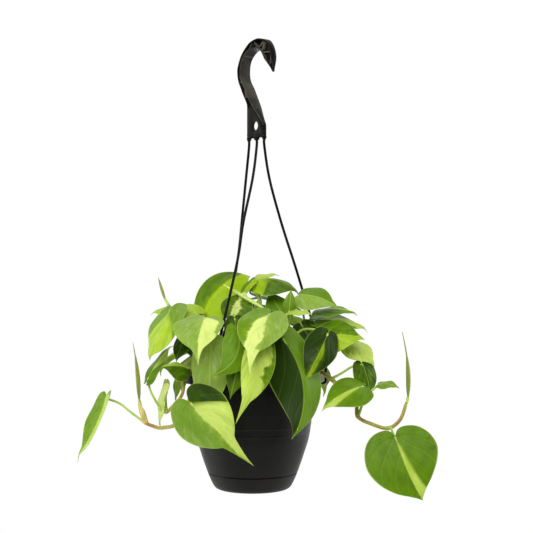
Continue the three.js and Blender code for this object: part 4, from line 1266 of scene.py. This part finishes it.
def petiole(start, one):
    """The petiole rises from the stem, bends over, comes in along the midrib and runs on under it."""
    placing = blade_frame(one)
    foot, along, up, *_ = placing
    origin = Vector(start)
    straight = foot - origin
    reach = straight.length
    straight.normalize()
    rising = origin + straight * (PETIOLE_BEND * reach) + Vector((0, 0, one.rise * reach))
    swing = PETIOLE_SWING + PETIOLE_SWING_BY_RISE * abs(one.rise)
    arriving = (along * swing + straight).normalized()
    before = foot - arriving * (PETIOLE_ENTRY * reach) - up * (PETIOLE_SAG * reach)
    point, normal = blade_point(one, placing, MIDRIB_FROM, 0)
    way = sampled([origin, rising, before, point - normal * 0.3], PETIOLE_STEPS)
    radii = [PETIOLE_RADIUS * (1 + 0.7 * math.exp(-i / 2.5)) for i in range(len(way))]
    for i in range(1, MIDRIB_STEPS + 1):
        s = MIDRIB_FROM + MIDRIB_LENGTH * i / MIDRIB_STEPS
        point, normal = blade_point(one, placing, drawn_out(s, one.drip, 0), 0)
        thick = PETIOLE_RADIUS * (1 - s) ** 0.8 * 0.85 + MIDRIB_LEAST
        way.append(point - normal * (thick + MIDRIB_LEAST))
        radii.append(thick)
    return way, radii


def stem(one):
    """The stem, swollen at each node that a leaf grows from."""
    count = (len(one.stem) - 1) * STEM_STEPS
    nodes = {leaf.node for leaf in one.leaves}
    radii = []
    for i in range(count + 1):
        swollen = sum(math.exp(-((i / STEM_STEPS - node) * 7) ** 2) for node in nodes)
        radii.append(one.radius * (1 - STEM_TAPER * i / count) * (1 + NODE_SWELL * swollen))
    radii[-1] *= 0.6
    return sampled(one.stem, count), radii


def crossways(along, back):
    """Two directions square to along and to each other."""
    side = along.cross(back).normalized()
    return side, side.cross(along)


def furled(start, one, blank):
    """A young leaf still rolled up: a blank rolled once round, with one edge lapped over the other."""
    base = Vector(one.base)
    along = Vector(one.tip) - base
    length = along.length
    along.normalize()
    side, front = crossways(along, Vector((0, 1, 0)))
    body = 1 - one.tail
    piece = new_object("furled", blank.data.copy())
    mesh = piece.data
    rolled_up = []
    for vertex in mesh.vertices:
        t = (vertex.co.y + 1) / 2
        turn = (vertex.co.x + 1) / 2
        swell = math.sin(math.pi * min(1.0, t / body) ** 0.8) ** 0.8
        girth = max(one.radius * swell, FURLED_LEAST * (1 - t) ** 0.4 if t > 0.5 else 0)
        lap = LAPPED + (1 - LAPPED) * turn if turn < 0.99 else LAPPED
        bearing = 2 * math.pi * turn + FURLED_TWIST * t + LAP_BEARING
        round_it = side * math.cos(bearing) + front * math.sin(bearing)
        bow = Vector((one.bow * math.sin(math.pi * t), 0, 0))
        vertex.co = at(*(base + along * (length * t) + bow + round_it * (girth * lap)))
        rolled_up.append((turn, t, 0.0))
    record(mesh, "vein", rolled_up)
    edit(piece, MERGE)
    paint(piece, pale_roll if one.pale else young_roll)
    smooth(piece, 60)
    way = sampled([Vector(start), Vector(start).lerp(base, 0.5), base + along * 2], 8)
    return piece, (way, [PETIOLE_RADIUS + 0.4] * len(way))


def dry_sheath(place, direction, length, radius, blank):
    """A papery sheath left at a node: a strip rolled half round the stem that narrows to a point."""
    along = direction.normalized()
    side, front = crossways(along, Vector((0, 1, 0.1)))
    piece = new_object("sheath", blank.data.copy())
    for vertex in piece.data.vertices:
        t = (vertex.co.y + 1) / 2
        bearing = vertex.co.x * (1 - t) * SHEATH_WRAP
        reach = radius + SHEATH_GAP + SHEATH_FLARE * t * t
        round_it = front * -math.cos(bearing) + side * math.sin(bearing)
        vertex.co = at(*(place + along * (length * t) + round_it * reach))
    modify(piece, "SOLIDIFY", thickness=SHEATH_THICK * MM, offset=0)
    paint(piece, sheath_skin)
    return piece


def blank_sheet(columns, rows):
    """The flat grid that blades, furled leaves and sheaths are shaped from."""
    bpy.ops.mesh.primitive_grid_add(x_subdivisions=columns, y_subdivisions=rows, size=2)
    return active()


def vine(one, blank, small_blank, chance):
    points = one.stem
    blades = [blade(leaf, blank, chance) for leaf in one.leaves]
    stalks = [petiole(points[leaf.node], leaf) for leaf in one.leaves]
    extras = []
    for young in one.young:
        roll, stalk_way = furled(points[young.node], young, blank)
        extras.append(roll)
        stalks.append(stalk_way)
    greenery = join(one.name + "_leaves", blades)
    paint(greenery, upper_side, under_side)
    edit(greenery, MERGE)
    both_sides = {"offset": 0, "material_offset": 1, "material_offset_rim": 0}
    modify(greenery, "SOLIDIFY", thickness=BLADE_THICK * MM, **both_sides)
    smooth(greenery, 60)
    stem_piece = tubes("stem", [stem(one)], stem_skin)
    stalk_piece = tubes("stalks", stalks, petiole_skin)
    smooth(stem_piece, 60)
    smooth(stalk_piece, 60)
    for node, length in one.sheaths:
        place = Vector(points[node])
        ahead = Vector(points[node + 1]) - place if node + 1 < len(points) else Vector((-8, 0, 26))
        extras.append(dry_sheath(place, ahead, length, one.radius + 0.2, small_blank))
    whole = join(one.name + "_growth", [greenery, stem_piece, stalk_piece] + extras)
    return hand_in(whole, "foliage", one.name)


pot()
saucer()
soil()
hook()
for strand_name, (root, bearing, way) in STRANDS.items():
    strand(strand_name, root, bearing, way)
leaf_chance = random.Random(SEED)
blade_blank = blank_sheet(COLUMNS, ROWS)
sheath_blank = blank_sheet(8, 6)
for each in VINES:
    vine(each, blade_blank, sheath_blank, leaf_chance)
bpy.data.objects.remove(blade_blank)
bpy.data.objects.remove(sheath_blank)


# Floor, light and camera

FLOOR_DROP = 560  # the plant hangs this far above the floor
FLOOR_RADIUS = 2200
CAMERA_PLACE = (15.5, -1390, 248)
CAMERA_LENS = 83.8


def floor():
    bpy.ops.mesh.primitive_circle_add(
        vertices=128, radius=FLOOR_RADIUS * MM, fill_type="NGON", location=at(0, 0, -FLOOR_DROP),
    )
    disc = active()
    disc.name = "pale_floor"
    settle(disc)
    made, web, shader = material("pale floor", Roughness=0.9)
    grain = web.step(web.noise(web.place(), 60.0, 2.0), 0.3, 0.7)
    web.plug(shader["Base Color"], web.mix(grain, rgb(238, 238, 236), rgb(243, 243, 241)))
    paint(disc, made)


def softbox(name, place, target, size, power):
    light = bpy.data.lights.new(name, "AREA")
    light.shape = "RECTANGLE"
    light.size = size[0]
    light.size_y = size[1]
    light.energy = power
    lamp = new_object(name, light)
    lamp.location = at(*place)
    lamp.rotation_euler = (at(*target) - lamp.location).to_track_quat("-Z", "Y").to_euler()


def surroundings():
    """A white studio, darker on the side where the camera stands, and plain white as a background."""
    world = bpy.data.worlds.new("white surroundings")
    world.use_nodes = True
    web = Web(world.node_tree)
    background = world.node_tree.nodes["Background"]
    _, away, _ = web.split(web.signal("ShaderNodeTexCoord", "Generated"))
    light = web.step(away, -0.3, 0.7, 0.06, 1.5)
    seen = web.signal("ShaderNodeLightPath", "Is Camera Ray")
    web.plug(background.inputs["Strength"], web.blend(seen, light, 1.0))
    web.plug(background.inputs["Color"], (1.0, 1.0, 1.0, 1.0))
    bpy.context.scene.world = world


def camera():
    lens = bpy.data.cameras.new("camera")
    lens.lens = CAMERA_LENS
    lens.sensor_width = 36
    lens.clip_start = 0.05
    lens.clip_end = 50
    eye = new_object("camera", lens)
    eye.location = at(*CAMERA_PLACE)
    eye.rotation_euler = (math.pi / 2, 0, 0)
    bpy.context.scene.camera = eye


floor()
softbox("top_light", (-250, -1150, 1000), (0, 0, 150), (1.4, 1.0), 29)
softbox("left_light", (-1200, 0, -50), (0, 0, 100), (0.9, 0.7), 8)
softbox("right_light", (1200, 150, 250), (0, 0, 150), (0.9, 1.2), 10)
surroundings()
camera()
bpy.context.scene.view_settings.view_transform = "Standard"
